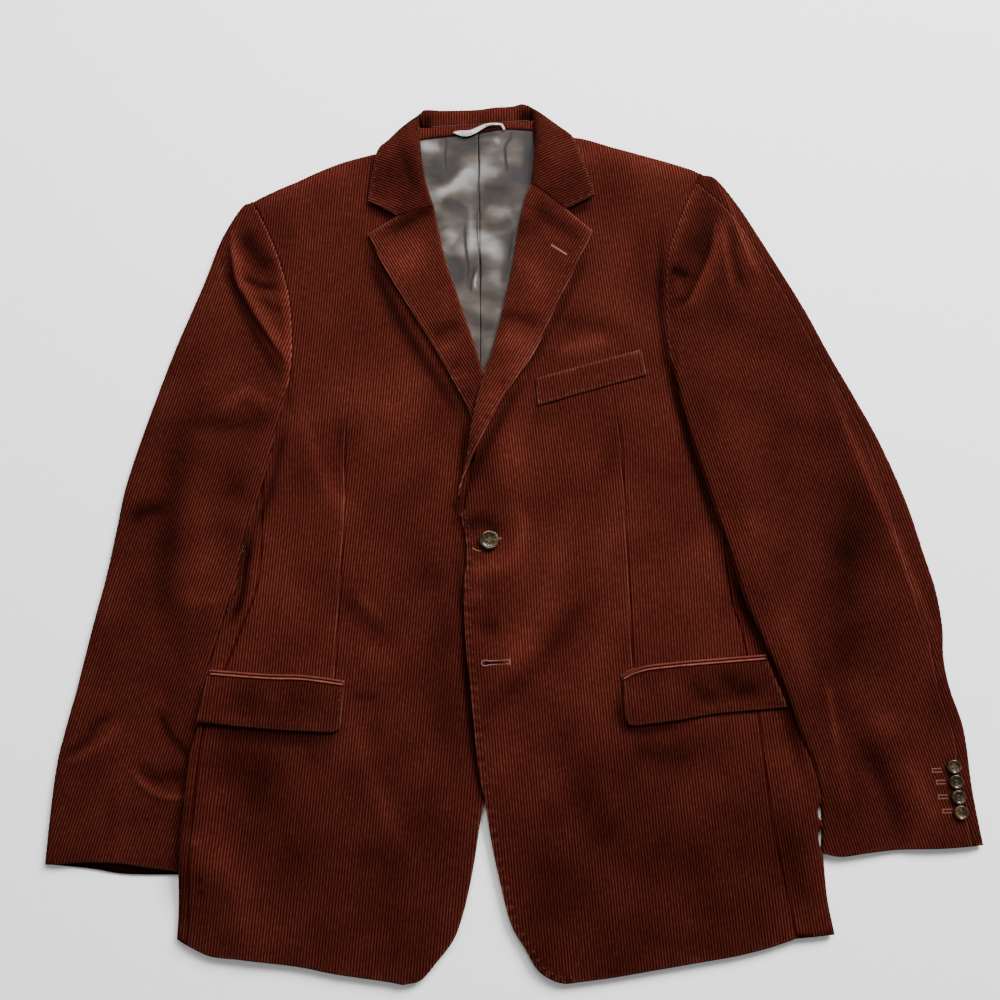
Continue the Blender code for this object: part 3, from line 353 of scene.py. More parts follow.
class Level:
    # The smooth height of some CAD nodes' upper faces, or of their lower ones. It isn't read
    # beside their creased edges, and is spread wider and wider to the places with no height.
    cell, margin = 4 * mm, 0.03

    def __init__(self, nodes, up=True, creased=(), soft=7 * mm, left=5.5 * mm):
        boxes = [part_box(node) for node in nodes]
        self.low = np.array([min(b[0][k] for b in boxes) for k in (0, 1)]) - self.margin
        high = np.array([max(b[1][k] for b in boxes) for k in (0, 1)]) + self.margin
        meshes = [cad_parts[node].data for node in nodes]
        trees = [BVHTree.FromPolygons([v.co for v in mesh.vertices], [p.vertices for p in mesh.polygons])
                 for mesh in meshes]
        counts = np.ceil((high - self.low) / self.cell).astype(int)
        height = np.full(counts, np.nan)
        start, down = (1.0, Vector((0, 0, -1))) if up else (-1.0, Vector((0, 0, 1)))
        for i, j in np.ndindex(*counts):
            x, y = self.low + (np.array([i, j]) + 0.5) * self.cell
            hits = [tree.ray_cast(Vector((x, y, start)), down)[0] for tree in trees]
            hits = [hit.z for hit in hits if hit is not None]
            if hits:
                height[i, j] = max(hits) if up else min(hits)
        known = ~np.isnan(height)
        if len(creased):
            rows, cols = np.nonzero(known)
            centres = self.low + (np.column_stack([rows, cols]) + 0.5) * self.cell
            close = awayFrom(creased, centres, 4) < left
            known[rows[close], cols[close]] = False
        height = np.where(known, height, 0)
        self.height = np.zeros(counts)
        filled = np.zeros(counts, bool)
        for wider, least in ((1, 0.02), (3, 0.02), (9, 0.02), (30, 1e-6)):
            total, weight = (self.spreadOut(grid, wider * soft) for grid in (height, known.astype(float)))
            usable = (weight > least) & ~filled
            self.height[usable] = total[usable] / weight[usable]
            filled |= usable

    def spreadOut(self, grid, spread):
        reach = int(3 * spread / self.cell) + 1
        weights = [math.exp(-0.5 * (k * self.cell / spread)**2) for k in range(-reach, reach + 1)]
        for axis in (0, 1):
            wide = np.pad(grid, [(reach, reach) if a == axis else (0, 0) for a in (0, 1)])
            size = grid.shape[axis]
            grid = sum(w * np.take(wide, range(k, k + size), axis=axis) for k, w in enumerate(weights))
            grid = grid / sum(weights)
        return grid

    def read(self, xy):
        at = (xy - self.low) / self.cell - 0.5
        i, j = np.clip(np.floor(at).astype(int), 0, np.array(self.height.shape) - 2).T
        u, v = (at - np.column_stack([i, j])).clip(0, 1).T
        grid = self.height
        return ((1 - u) * ((1 - v) * grid[i, j] + v * grid[i, j + 1])
                + u * ((1 - v) * grid[i + 1, j] + v * grid[i + 1, j + 1]))


def foldWidths(width):
    # one half width, or one to the left of the run and one to its right
    return width if isinstance(width, tuple) else (width, width)


foldLook = {"reach": 2.6, "end": (0.3, 4), "crest": 0.6, "shadow": (0.9, 2.2)}


def foldsAt(rows, xy, wider=0.0):
    # soft ridges and troughs: how high they lift the cloth, and how much their colour is painted
    # lighter or darker, as painted highlight and painted shade of the folds with some brushing of the nap;
    # each row is the run of a fold, its half width, its height and its shade. Two half widths make a fold
    # that hangs over to the narrower side, with a painted shadow there.
    height, shade = np.zeros(len(xy)), np.zeros(len(xy))
    for places, width, rise, light in rows:
        run = curveThrough(places)[::12]
        left, right = [(w + wider) * mm for w in foldWidths(width)]
        wide, steep = max(left, right), min(left, right)
        around = foldLook["reach"] * wide
        near = np.nonzero(((xy > run.min(0) - around) & (xy < run.max(0) + around)).all(1))[0]
        length = lengthsAlong(run)
        best, at, onLeft = np.full(len(near), np.inf), np.zeros(len(near)), np.zeros(len(near), bool)
        for i in range(len(run) - 1):
            step = run[i + 1] - run[i]
            apart = xy[near] - run[i]
            t = np.clip((apart @ step) / (step @ step), 0, 1)
            away = np.hypot(*(apart - t[:, None] * step).T)
            closer = away < best
            best[closer] = away[closer]
            at[closer] = (length[i] + t[closer] * (length[i + 1] - length[i])) / length[-1]
            onLeft[closer] = (step[0] * apart[:, 1] - step[1] * apart[:, 0])[closer] > 0
        least, growth = foldLook["end"]
        ends = np.clip(least + growth * np.minimum(at, 1 - at), 0, 1)
        strength = bell(best, np.where(onLeft, left, right))
        lit = strength
        if left != right:
            dark, spread = foldLook["shadow"]
            crest = bell(best, foldLook["crest"] * steep)
            shadow = crest - dark * (1 - crest) * bell(best, spread * steep)
            lit = np.where(onLeft == (left < right), shadow, strength)
        height[near] += rise * mm * strength * ends
        shade[near] += light * lit * ends
    return height, shade


wearAndPaintedLightLooks = {"free": (1.7, 1.0), "ridge": (1.0, 1.1), "seam": (0.9, -1.0), "groove": 0.9,
             "highlightBesideGroove": (-1.5, 0.8, 0.8)}


class Sheet:
    # One flat cut of cloth. Its edges are (line, kind, look). The kinds are cut, fold, roll and
    # join (sewn to the sheet beside it without a step), crossFold for a fold that the wales of
    # two sheets meet at an angle, and a Level for a seam that meets that level halfway. The
    # looks are free, ridge, seam and plain. brushed is how much lighter, or below 0 darker, the
    # whole cut is painted: partly the way its nap lies, partly painted shade for less light on it.
    rings = (1.1, 2.9)        # rows of points this far inside the edges that cross the wales
    slant, clear = 0.4, 0.85  # how steeply those cross them, and the room such a point needs
    narrow = 5.6              # a fold with a half width below this gets more points
    perRow = 3                # so many for one
    probe = 0.5 * mm

    def __init__(self, edges, grain, level, up=True, other=None, creases=(), grooves=(), puckers=(),
                 wall=cloth["wall"], edgeDrop=0.9, brushedNapAndShade=0.0):
        self.up, self.grain, self.level, self.other = up, grain, level, other
        self.creases, self.grooves, self.puckers = creases, grooves, puckers
        self.wall, self.edgeDrop, self.brushedNapAndShade = wall * mm, edgeDrop * mm, brushedNapAndShade
        loop, kinds = [], []
        for (line, kind, look), following in zip(edges, edges[1:] + edges[:1]):
            points = pointsAlong(line, None if kind in ("join", "crossFold") else grain,
                                 0.8 * mm if kind == "crossFold" else 3 * mm)
            meets = np.hypot(*(points[-1] - following[0][0])) < 0.02 * mm
            loop.append(points[:-1] if meets else points)
            kinds += [kind] * (len(points) - 1) + ([] if meets else ["cut"])
        loop = np.vstack(loop)
        self.edges = [(line, "fold" if kind == "crossFold" else kind, look) for line, kind, look in edges]
        self.openLines = [line for line, kind, look in self.edges if kind not in ("fold", "join")]
        self.sealed = np.array([kind in ("fold", "join", "crossFold") for kind in kinds])
        self.held = self.sealed | np.roll(self.sealed, 1)
        self.turn = np.sign(turning(loop))
        inward = []
        for run in (loop - np.roll(loop, 1, axis=0), np.roll(loop, -1, axis=0) - loop):
            run = run / np.maximum(np.hypot(*run.T), 1e-9)[:, None]
            inward.append(np.column_stack([-run[:, 1], run[:, 0]]) * self.turn)
        both = inward[0] + inward[1]
        both *= (2 / np.maximum((both**2).sum(1), 0.6))[:, None]
        insets = np.array([cloth["sewn"] if isinstance(kind, Level) else cloth["inset"] for kind in kinds])
        self.loop = loop + np.where(self.held[:, None], 0, both * insets[:, None])
        self.area = 0.5 * abs(turning(self.loop))
        self.outline = Nearest([self.loop])
        self.fillOuter(inward[1])
        self.fillInner()

    def linesOf(self, wanted):
        return [line for line, kind, look in self.edges if kind == wanted]

    def fillOuter(self, inward):
        grain = self.grain
        size = np.array([grain.column, grain.row])
        pattern = grain.pattern(self.loop) / size
        probe = grain.pattern(self.loop + inward * self.probe) / size
        crossing = np.abs(probe[:, 1] - pattern[:, 1]) * grain.row / self.probe
        fixed = [self.loop]
        for depth in self.rings:
            ring = self.loop + inward * depth * mm
            keep = (crossing > self.slant) & insideLoop(self.loop, ring)
            keep &= self.outline.find(ring)[0] > self.clear * depth * mm
            fixed.append(ring[keep])
        low, high = np.floor(pattern.min(0)), np.ceil(pattern.max(0))
        columns = np.arange(low[0], high[0] + 1)
        grid = gridOf(columns, np.arange(low[1], high[1] + 1))
        if self.creases or self.puckers:
            between = np.arange(low[1] * self.perRow, high[1] * self.perRow + 1) / self.perRow
            finer = gridOf(columns, between[between % 1 > 0.1])
            grid = np.vstack([grid, finer[self.needsFiner(grain.place(finer * size))]])
        grid = grid[insideLoop(pattern, grid)]
        places = grain.place(grid * size)
        away, nearest = self.outline.find(places)
        room = (0.3 + 3.6 * np.clip(crossing[nearest] - 0.3, 0, 1)) * mm
        room = np.minimum(room, 0.3 * mm + 0.42 * grain.row * crossing[nearest] + 0.9 * mm)
        places = places[away > room]
        self.outer, self.outerTriangles = self.triangulated(np.vstack(fixed + [places]), size)
        self.pattern = grain.pattern(self.outer)

    def needsFiner(self, xy):
        # near the narrow folds and the puckered edges
        found = np.zeros(len(xy), bool)
        bands = [(curveThrough(row[0]), 1.7 * max(foldWidths(row[1]))) for row in self.creases
                 if min(foldWidths(row[1])) < self.narrow]
        bands += [(line, 1.3 * reach) for line, reach, *rest in self.puckers]
        for line, reach in bands:
            reach *= mm
            near = np.nonzero(((xy > line.min(0) - reach) & (xy < line.max(0) + reach)).all(1))[0]
            if len(near):
                found[near] |= awayFrom([line], xy[near], 4) < reach
        return found

    def triangulated(self, xy, size):
        pattern = self.grain.pattern(xy) / size
        count = len(self.loop)
        ring = [(i, (i + 1) % count) for i in range(count)]
        found = geometry.delaunay_2d_cdt([Vector(p) for p in pattern], ring, [], 1, 1e-6)
        places = np.array([xy[o[0]] if len(o) else self.grain.place(np.array([found[0][i]]) * size)[0]
                           for i, o in enumerate(found[3])])
        triangles = np.array([tuple(f) for f in found[2]])
        corners = places[triangles]
        first, second = corners[:, 1] - corners[:, 0], corners[:, 2] - corners[:, 0]
        backwards = (first[:, 0] * second[:, 1] - first[:, 1] * second[:, 0]) < 0
        triangles[backwards] = triangles[backwards][:, ::-1]
        return places, triangles

    def fillInner(self):
        step = cloth["lining"]
        low, high = self.loop.min(0), self.loop.max(0)
        grid = gridOf(np.arange(low[0], high[0], step), np.arange(low[1], high[1], step))
        grid = grid[insideLoop(self.loop, grid)]
        if len(grid):
            grid = grid[self.outline.find(grid)[0] > 0.4 * step]
        places = np.vstack([self.loop, grid])
        self.inner, self.innerTriangles = self.triangulated(places, np.array([step, step]))

    def heights(self, xy, whole=True):
        # the right side's height, and how far each point leans over at a fold
        side = 1 if self.up else -1
        z = self.level.read(xy) + self.folded(xy, whole)[0]
        lean, inward = np.zeros(len(xy)), np.zeros((len(xy), 2))
        for line, kind, look in self.edges:
            if isinstance(kind, Level):
                found = Nearest([line[::3]])
                away, nearest = found.find(xy)
                at = found.points[nearest]
                target = (self.level.read(at) + kind.read(at)) / 2
                ease = np.clip(1 - away / cloth["seat"], 0, 1)
                z += (target - z) * ease * ease * (3 - 2 * ease)
        rolls = self.linesOf("roll")
        if rolls:
            z -= side * cloth["rollDrop"] * rounded(awayFrom(rolls, xy), cloth["rollRound"])
        folds = self.linesOf("fold")
        if folds:
            found = Nearest(folds)
            away, nearest = found.find(xy)
            away[away < 0.01 * mm] = 0
            at = found.points[nearest]
            middle = (self.level.read(at) + self.other.read(at)) / 2
            reach = np.clip(1.3 * np.abs(z - middle), *cloth["foldRound"])
            lean = 1 - np.clip(away / reach, 0, 1)
            z += (middle - z) * rounded(away, reach)
            turned = np.vstack([sideways(line, 1.0) - line for line in folds])
            within = insideLoop(self.loop, found.points + turned * 1.2 * mm)
            inward = turned[nearest] * np.where(within, 1.0, -1.0)[nearest][:, None]
        if whole:
            if self.openLines:
                z -= side * self.edgeDrop * rounded(awayFrom(self.openLines, xy), cloth["edgeRound"])
            for line, width, depth in self.grooves:
                z -= side * depth * mm * bell(awayFrom([line], xy), width * mm)
        return z, lean, inward

    def folded(self, xy, whole=True):
        if not whole:
            # the wrong side, with fewer points, only makes room for the troughs
            return foldsAt([row for row in self.creases if row[2] < 0], xy, cloth["underFolds"])
        height, shade = foldsAt(self.creases, xy)
        shade += self.brushedNapAndShade
        # puckers: small waves in the height along an edge, with painted highlight and painted shade on them
        for line, reach, spacing, rise, light in self.puckers:
            away, nearest = Nearest([line]).find(xy)
            turn = 2 * math.pi * nearest * 0.5 / spacing
            wave = (np.sin(turn) + 0.5 * np.sin(0.62 * turn + 1.0)) * bell(away, reach * mm)
            height += rise * mm * wave
            shade += light * wave
        return height, shade

    def wearAndPaintedLight(self, xy):
        # above 0 where an edge is rubbed light and where a painted highlight runs beside a groove, below 0 in
        # a seam or a groove
        total = np.zeros(len(xy))
        for look in ("free", "ridge", "seam"):
            width, amount = wearAndPaintedLightLooks[look]
            some = [line for line, kind, which in self.edges if which == look]
            if some:
                total += amount * bell(awayFrom(some, xy), width * mm)
        # a painted highlight along one side of each groove, where its wall would catch the light
        aside, highlightWidth, light = wearAndPaintedLightLooks["highlightBesideGroove"]
        for line, width, depth in self.grooves:
            total -= wearAndPaintedLightLooks["groove"] * min(depth, 1) * bell(awayFrom([line], xy), width * mm)
            total += light * bell(awayFrom([sideways(line, aside * mm)], xy), highlightWidth * mm)
        return np.clip(total, -1, 1)


def ribHeight(count):
    # how far the pile stands out, for a count of wales
    return cloth["pile"] * (np.abs(np.sin(math.pi * count))**0.7 - 0.62)


class Mesh:
    # gathers points and triangles, and makes the object
    def __init__(self):
        self.points, self.triangles, self.facts, self.count = [], [], [], 0

    def add(self, points, triangles, facts=None):
        points = np.asarray(points, float)
        self.points.append(points)
        self.triangles.append(np.asarray(triangles, int) + self.count)
        self.facts.append(np.zeros((len(points), 4)) if facts is None else facts)
        self.count += len(points)

    def make(self, name, material, slot, *nodes):
        mesh = bpy.data.meshes.new(name)
        mesh.from_pydata(np.vstack(self.points).tolist(), [], np.vstack(self.triangles).tolist())
        facts = np.vstack(self.facts).astype(np.float32)
        mesh.attributes.new("wale", "FLOAT_VECTOR", "POINT").data.foreach_set("vector", facts[:, :3].ravel())
        # this attribute holds the painted highlight, painted shade and painted shadows of the folds, with the
        # nap of each cut
        mesh.attributes.new("nap", "FLOAT", "POINT").data.foreach_set("value", facts[:, 3].copy())
        mesh.shade_smooth()
        mesh.materials.append(material)
        piece = addObject(name, mesh)
        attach(piece, "root")
        if nodes:
            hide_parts(*nodes)
        return piece


def keyOf(point):
    return (round(float(point[0]) * 1e6), round(float(point[1]) * 1e6))


surfaces = {}             # the right side of each finished piece, for what is sewn on it


def makeUp(name, sheets, node, restsOn=(), slot="corduroy"):
    # welds the sheets of a piece at their folds, raises the wales and closes the wrong side
    outer, keys, shared = [], {}, []
    facts, triangles, numbers, standing = [], [], [], []
    for sheet in sheets:
        z, lean = sheet.heights(sheet.outer)[:2]
        away = awayFrom(sheet.openLines, sheet.outer)
        lean = np.maximum(lean, 0.5 * np.clip(1 - away / cloth["edgeRound"], 0, 1))
        wearAndPaintedLight, shade = sheet.wearAndPaintedLight(sheet.outer), sheet.folded(sheet.outer)[1]
        folded = {keyOf(p) for p in sheet.loop[sheet.held]}
        number = np.empty(len(z), int)
        for i, (x, y) in enumerate(sheet.outer):
            key = keyOf((x, y))
            if key in folded and key in keys:
                number[i] = keys[key]
                outer[number[i]][2] += z[i]
                shared[number[i]] += 1
                continue
            number[i] = len(outer)
            if key in folded:
                keys[key] = number[i]
            outer.append([x, y, z[i]])
            shared.append(1)
            facts.append((sheet.pattern[i, 0] / cloth["wale"], sheet.pattern[i, 1], wearAndPaintedLight[i], shade[i]))
            standing.append(1 - cloth["laidDown"] * math.sqrt(lean[i]))
        numbers.append(number)
        made = number[sheet.outerTriangles]
        triangles.append(made if sheet.up else made[:, ::-1])
    outer, facts, triangles = np.array(outer), np.array(facts), np.vstack(triangles)
    outer[:, 2] /= np.array(shared)
    raised = outer.copy()
    if slot == "corduroy":
        normals = np.zeros_like(outer)
        corners = outer[triangles]
        across = np.cross(corners[:, 1] - corners[:, 0], corners[:, 2] - corners[:, 0])
        for k in range(3):
            np.add.at(normals, triangles[:, k], across)
        normals /= np.maximum(np.linalg.norm(normals, axis=1), 1e-12)[:, None]
        raised = outer + normals * (ribHeight(facts[:, 0]) * np.array(standing))[:, None]
    raised[:, 2] = np.maximum(raised[:, 2], cloth["overFloor"])
    shape = Mesh()
    shape.add(raised, triangles, facts)
    innerKeys, start = {}, shape.count
    inner, innerTriangles, rim = [], [], []
    for sheet, number in zip(sheets, numbers):
        z, lean, inward = sheet.heights(sheet.inner, whole=False)
        side = 1 if sheet.up else -1
        beyond = None
        if sheet.other is not None:
            beyond = sheet.other.read(sheet.inner) + side * (sheet.wall + 0.2 * mm)
        folded = {keyOf(p) for p in sheet.loop[sheet.held]}
        outerAt = {keyOf(p): n for p, n in zip(sheet.outer, number)}
        own = np.empty(len(z), int)
        for i, (x, y) in enumerate(sheet.inner):
            key = keyOf((x, y))
            if key in folded and key in innerKeys:
                own[i] = innerKeys[key]
                continue
            own[i] = start + len(inner)
            if key in folded:
                innerKeys[key] = own[i]
            height = outer[outerAt[key], 2] if key in folded else z[i]
            low = height - side * math.sqrt(1 - lean[i]**2) * sheet.wall
            if beyond is not None:
                low = side * max(side * low, min(side * beyond[i], side * height - 0.3 * mm))
            inner.append([x + inward[i, 0] * lean[i] * sheet.wall, y + inward[i, 1] * lean[i] * sheet.wall,
                          max(low, cloth["underFaceOverFloor"])])
        made = own[sheet.innerTriangles]
        innerTriangles.append(made[:, ::-1] if sheet.up else made)
        innerAt = {keyOf(p): n for p, n in zip(sheet.inner, own)}
        ring = [keyOf(p) for p in sheet.loop]
        for a, b, sealed in zip(ring, ring[1:] + ring[:1], sheet.sealed):
            if not sealed:
                quad = [outerAt[a], innerAt[a], innerAt[b], outerAt[b]]
                if (sheet.turn > 0) != sheet.up:
                    quad = quad[::-1]
                rim += [quad[:3], [quad[0], quad[2], quad[3]]]
    # the wrong side's low wear and shade paint shade down the cut edges' walls and on the inside of a sleeve
    # where it shows
    shape.add(inner, np.vstack(innerTriangles) - start, np.tile(cloth["wrongSide"], (len(inner), 1)))
    shape.triangles.append(np.array(rim, int).reshape(-1, 3))
    piece = shape.make(name, clothMaterials[slot], slot, node)
    surfaces[name] = BVHTree.FromPolygons(raised.tolist(), triangles.tolist())


class Value:
    # a number that changes over a surface: arithmetic on it adds Math nodes
    def __init__(self, finish, socket):
        self.finish, self.socket = finish, socket

    def math(self, operation, *others):
        made = self.finish.node("Math", {"operation": operation}, dict(enumerate(others)))
        return Value(self.finish, made.outputs[0])

    def __add__(self, other):
        return self.math("ADD", self, other)

    def __radd__(self, other):
        return self.math("ADD", other, self)

    def __sub__(self, other):
        return self.math("SUBTRACT", self, other)

    def __rsub__(self, other):
        return self.math("SUBTRACT", other, self)

    def __mul__(self, other):
        return self.math("MULTIPLY", self, other)

    def __rmul__(self, other):
        return self.math("MULTIPLY", other, self)

    def __pow__(self, other):
        return self.math("POWER", self, other)

    def atLeast(self, least):
        return self.math("MAXIMUM", self, least)

    def size(self):
        return self.math("ABSOLUTE", self)

    def wave(self):
        return self.math("SINE", self)


class Finish:
    # one material: a Principled shader with constants on its own sockets, and the nodes behind it
    def __init__(self, name, **constants):
        self.material = bpy.data.materials.new(name)
        self.material.use_nodes = True
        self.tree = self.material.node_tree
        self.shader = self.tree.nodes["Principled BSDF"]
        for socket, value in constants.items():
            self.shader.inputs[socket.replace("_", " ")].default_value = value
        self.place = self.node("TexCoord", {}, {}).outputs["Object"]

    def node(self, kind, settings, sockets):
        made = self.tree.nodes.new("ShaderNode" + kind)
        for setting, value in settings.items():
            if setting == "stops":
                ramp = made.color_ramp
                for i, (at, colour) in enumerate(value):
                    stop = ramp.elements[i] if i < 2 else ramp.elements.new(at)
                    stop.position, stop.color = at, (*colour, 1)
            else:
                setattr(made, setting, value)
        for socket, value in sockets.items():
            self.feed(made.inputs[socket], value)
        return made

    def feed(self, socket, value):
        if isinstance(value, Value):
            value = value.socket
        if isinstance(value, bpy.types.NodeSocket):
            self.tree.links.new(value, socket)
        elif isinstance(value, tuple) and len(value) == 3 and socket.type == "RGBA":
            socket.default_value = (*value, 1)
        else:
            socket.default_value = value

    def shaded(self, socket, value):
        self.feed(self.shader.inputs[socket], value)

    def ramped(self, tone, *stops):
        return self.node("ValToRGB", {"stops": stops}, {0: tone}).outputs[0]

    def mixed(self, factor, first, second):
        return self.node("Mix", {"data_type": "RGBA"}, {0: factor, 6: first, 7: second}).outputs[2]

    def noise(self, scale, detail=2.0, rough=0.5, where=None):
        sockets = {"Vector": where or self.place, "Scale": scale, "Detail": detail, "Roughness": rough}
        return Value(self, self.node("TexNoise", {}, sockets).outputs[0])

    def stretchedNoise(self, scale, detail=2.0, turn=0.0):
        stretch = self.node("Mapping", {}, {"Vector": self.place, "Rotation": (0, 0, turn), "Scale": scale})
        return self.noise(1.0, detail, 0.5, stretch.outputs[0])

    def attribute(self, name):
        return Value(self, self.node("Attribute", {"attribute_name": name}, {}).outputs["Fac"])

    def waleFacts(self):
        # the count of wales, the length along them, and the wear with its painted light
        made = self.node("Attribute", {"attribute_name": "wale"}, {})
        split = self.node("SeparateXYZ", {}, {0: made.outputs["Vector"]})
        return [Value(self, split.outputs[k]) for k in range(3)]

    def bump(self, height, strength, distance):
        made = self.node("Bump", {}, {"Strength": strength, "Distance": distance, "Height": height})
        self.shaded("Normal", made.outputs[0])


def corduroyFinish():
    # cut-pile wales: dark red-brown between the ribs, as painted shade in the grooves, rust on them with a
    # painted highlight on the crests, and pale where the nap lies over
    finish = Finish("rustCorduroy", Roughness=0.95, Sheen_Weight=0.03, Sheen_Roughness=0.4,
                    Sheen_Tint=(0.70, 0.26, 0.16, 1), Specular_IOR_Level=0.02)
    count, along, wearAndPaintedLight = finish.waleFacts()
    shade = finish.attribute("nap")
    ridge = (count * math.pi).wave().size()
    streaks = finish.node("CombineXYZ", {}, {0: count * 0.9, 1: along * 190})
    nap = finish.noise(1.0, 3.0, 0.6, streaks.outputs[0])
    cloud = finish.noise(15.0, 3.0, 0.55)
    fuzz = finish.noise(1500.0, 2.0, 0.7)
    # the ribs' crests are painted light and the grooves between them dark: painted highlight and painted
    # shade on top of the ribs' real height
    pile = ridge**1.4
    tone = pile * 0.42 + (nap - 0.5) * (0.12 + pile * 0.34) + (cloud - 0.5) * 0.12 + (fuzz - 0.5) * 0.10
    tone = tone + shade * 0.05 + wearAndPaintedLight * 0.24 + 0.20
    ramp = finish.ramped(tone, (0.0, (0.0050, 0.0003, 0.0002)), (0.22, (0.018, 0.0010, 0.0005)),
                         (0.45, (0.033, 0.0044, 0.0024)), (0.62, (0.052, 0.0122, 0.0078)),
                         (0.80, (0.081, 0.0262, 0.0188)), (1.0, (0.145, 0.058, 0.044)))
    # lit scales the colour as light would: painted highlight and painted shade of the folds, shadows and
    # skirts, with a soft random cloud
    lit = (0.93 + shade * 0.50 + (cloud - 0.5) * 0.80).atLeast(0.22)
    colour = finish.node("VectorMath", {"operation": "SCALE"}, {0: ramp, 3: lit})
    finish.shaded("Base Color", colour.outputs[0])
    finish.bump(fuzz * 0.6 + nap * 0.4, 0.35, 0.0004)
    return finish.material


def satinFinish():
    finish = Finish("taupeSatin", Roughness=0.5, Sheen_Weight=0.02, Sheen_Roughness=0.3,
                    Specular_IOR_Level=0.16)
    # soft stretched patches of silver and brown: painted reflections and painted shade of crumpled satin,
    # with the pleats' painted highlight and shade added from the mesh
    cloud = finish.stretchedNoise((19, 34, 1), 2.5, 0.4)
    thread = finish.stretchedNoise((2600, 300, 1))
    wearAndPaintedLight = finish.waleFacts()[2]
    tone = (cloud - 0.5) * 1.9 + (thread - 0.5) * 0.12 + finish.attribute("nap") * 0.46 + wearAndPaintedLight * 0.4 + 0.36
    finish.shaded("Base Color", finish.ramped(
        tone, (0.0, (0.0045, 0.0026, 0.0016)), (0.25, (0.018, 0.0115, 0.0075)), (0.5, (0.044, 0.034, 0.027)),
        (0.72, (0.088, 0.080, 0.075)), (1.0, (0.155, 0.153, 0.151))))
    finish.shaded("Roughness", 0.58 - thread * 0.2)
    finish.bump(thread, 0.15, 0.0002)
    return finish.material


def ribbonFinish():
    finish = Finish("silverRibbon", Roughness=0.38, Specular_IOR_Level=0.6)
    weave = finish.stretchedNoise((400, 2400, 1))
    finish.shaded("Base Color", finish.mixed(weave, (0.16, 0.155, 0.15), (0.40, 0.395, 0.385)))
    finish.bump(weave, 0.2, 0.0002)
    return finish.material


def hornFinish():
    finish = Finish("horn", Roughness=0.2, Specular_IOR_Level=0.3)
    swirl = finish.noise(130.0, 4.0, 0.65)
    vein = finish.noise(420.0, 3.0, 0.6)
    finish.shaded("Base Color", finish.ramped(
        swirl * 0.7 + vein * 0.32, (0.34, (0.003, 0.002, 0.001)), (0.50, (0.016, 0.010, 0.0035)),
        (0.60, (0.060, 0.037, 0.013)), (0.76, (0.17, 0.12, 0.055))))
    finish.bump(vein, 0.05, 0.0001)
    return finish.material


def threadFinish(name, dark, light):
    finish = Finish(name, Roughness=0.7, Sheen_Weight=0.15, Specular_IOR_Level=0.3)
    twist = finish.noise(900.0)
    finish.shaded("Base Color", finish.mixed(twist, dark, light))
    finish.bump(twist, 0.3, 0.0002)
    return finish.material


clothMaterials = {"corduroy": corduroyFinish(), "lining": satinFinish(), "loop": ribbonFinish()}
horn = hornFinish()
rustThread = threadFinish("rustThread", (0.035, 0.007, 0.004), (0.085, 0.022, 0.014))
silkTwist = threadFinish("silkTwist", (0.085, 0.019, 0.011), (0.17, 0.048, 0.030))
buttonThread = threadFinish("buttonThread", (0.035, 0.022, 0.011), (0.08, 0.054, 0.030))

curves = {name: curveThrough(points) for name, points in lines.items()}
print("curves drawn")


def edge(name, kind="cut", look="seam", back=False):
    line = curves[name]
    return (line[::-1] if back else line), kind, look


# Heights of what lies under each piece's right side
bodyLevel, sideDown, sleeveUp, sleeveDown, lapelLevel = {}, {}, {}, {}, {}
for side, word in sides.items():
    sideFold = curves["sideFold" + side]
    bodyLevel[side] = Level(["front_" + word, "side_" + word], creased=[sideFold, curves["shoulder" + side]])
    sideDown[side] = Level(["side_" + word, "back_" + word], up=False, creased=[sideFold])
    folds = [curves["outer" + side], curves["inner" + side]]
    for levels, up in ((sleeveUp, True), (sleeveDown, False)):
        levels[side] = Level(["top_sleeve_" + word, "under_sleeve_" + word], up, folds)
    lapelLevel[side] = Level(["lapel_" + word], creased=[curves["roll" + side]], soft=5 * mm, left=2 * mm)
collarFolds = [curves["collarFoldR"], curves["collarTop"], curves["collarFoldL"]]
collarUp = Level(["collar"], creased=collarFolds + [curves["neckRollR"], curves["neckRollL"]], soft=5 * mm)
collarDown = Level(["collar"], up=False, creased=collarFolds, soft=5 * mm)
neckLevel = Level(["back_lining_right", "back_lining_left", "back_neck_facing"], soft=4 * mm)
print("levels read")
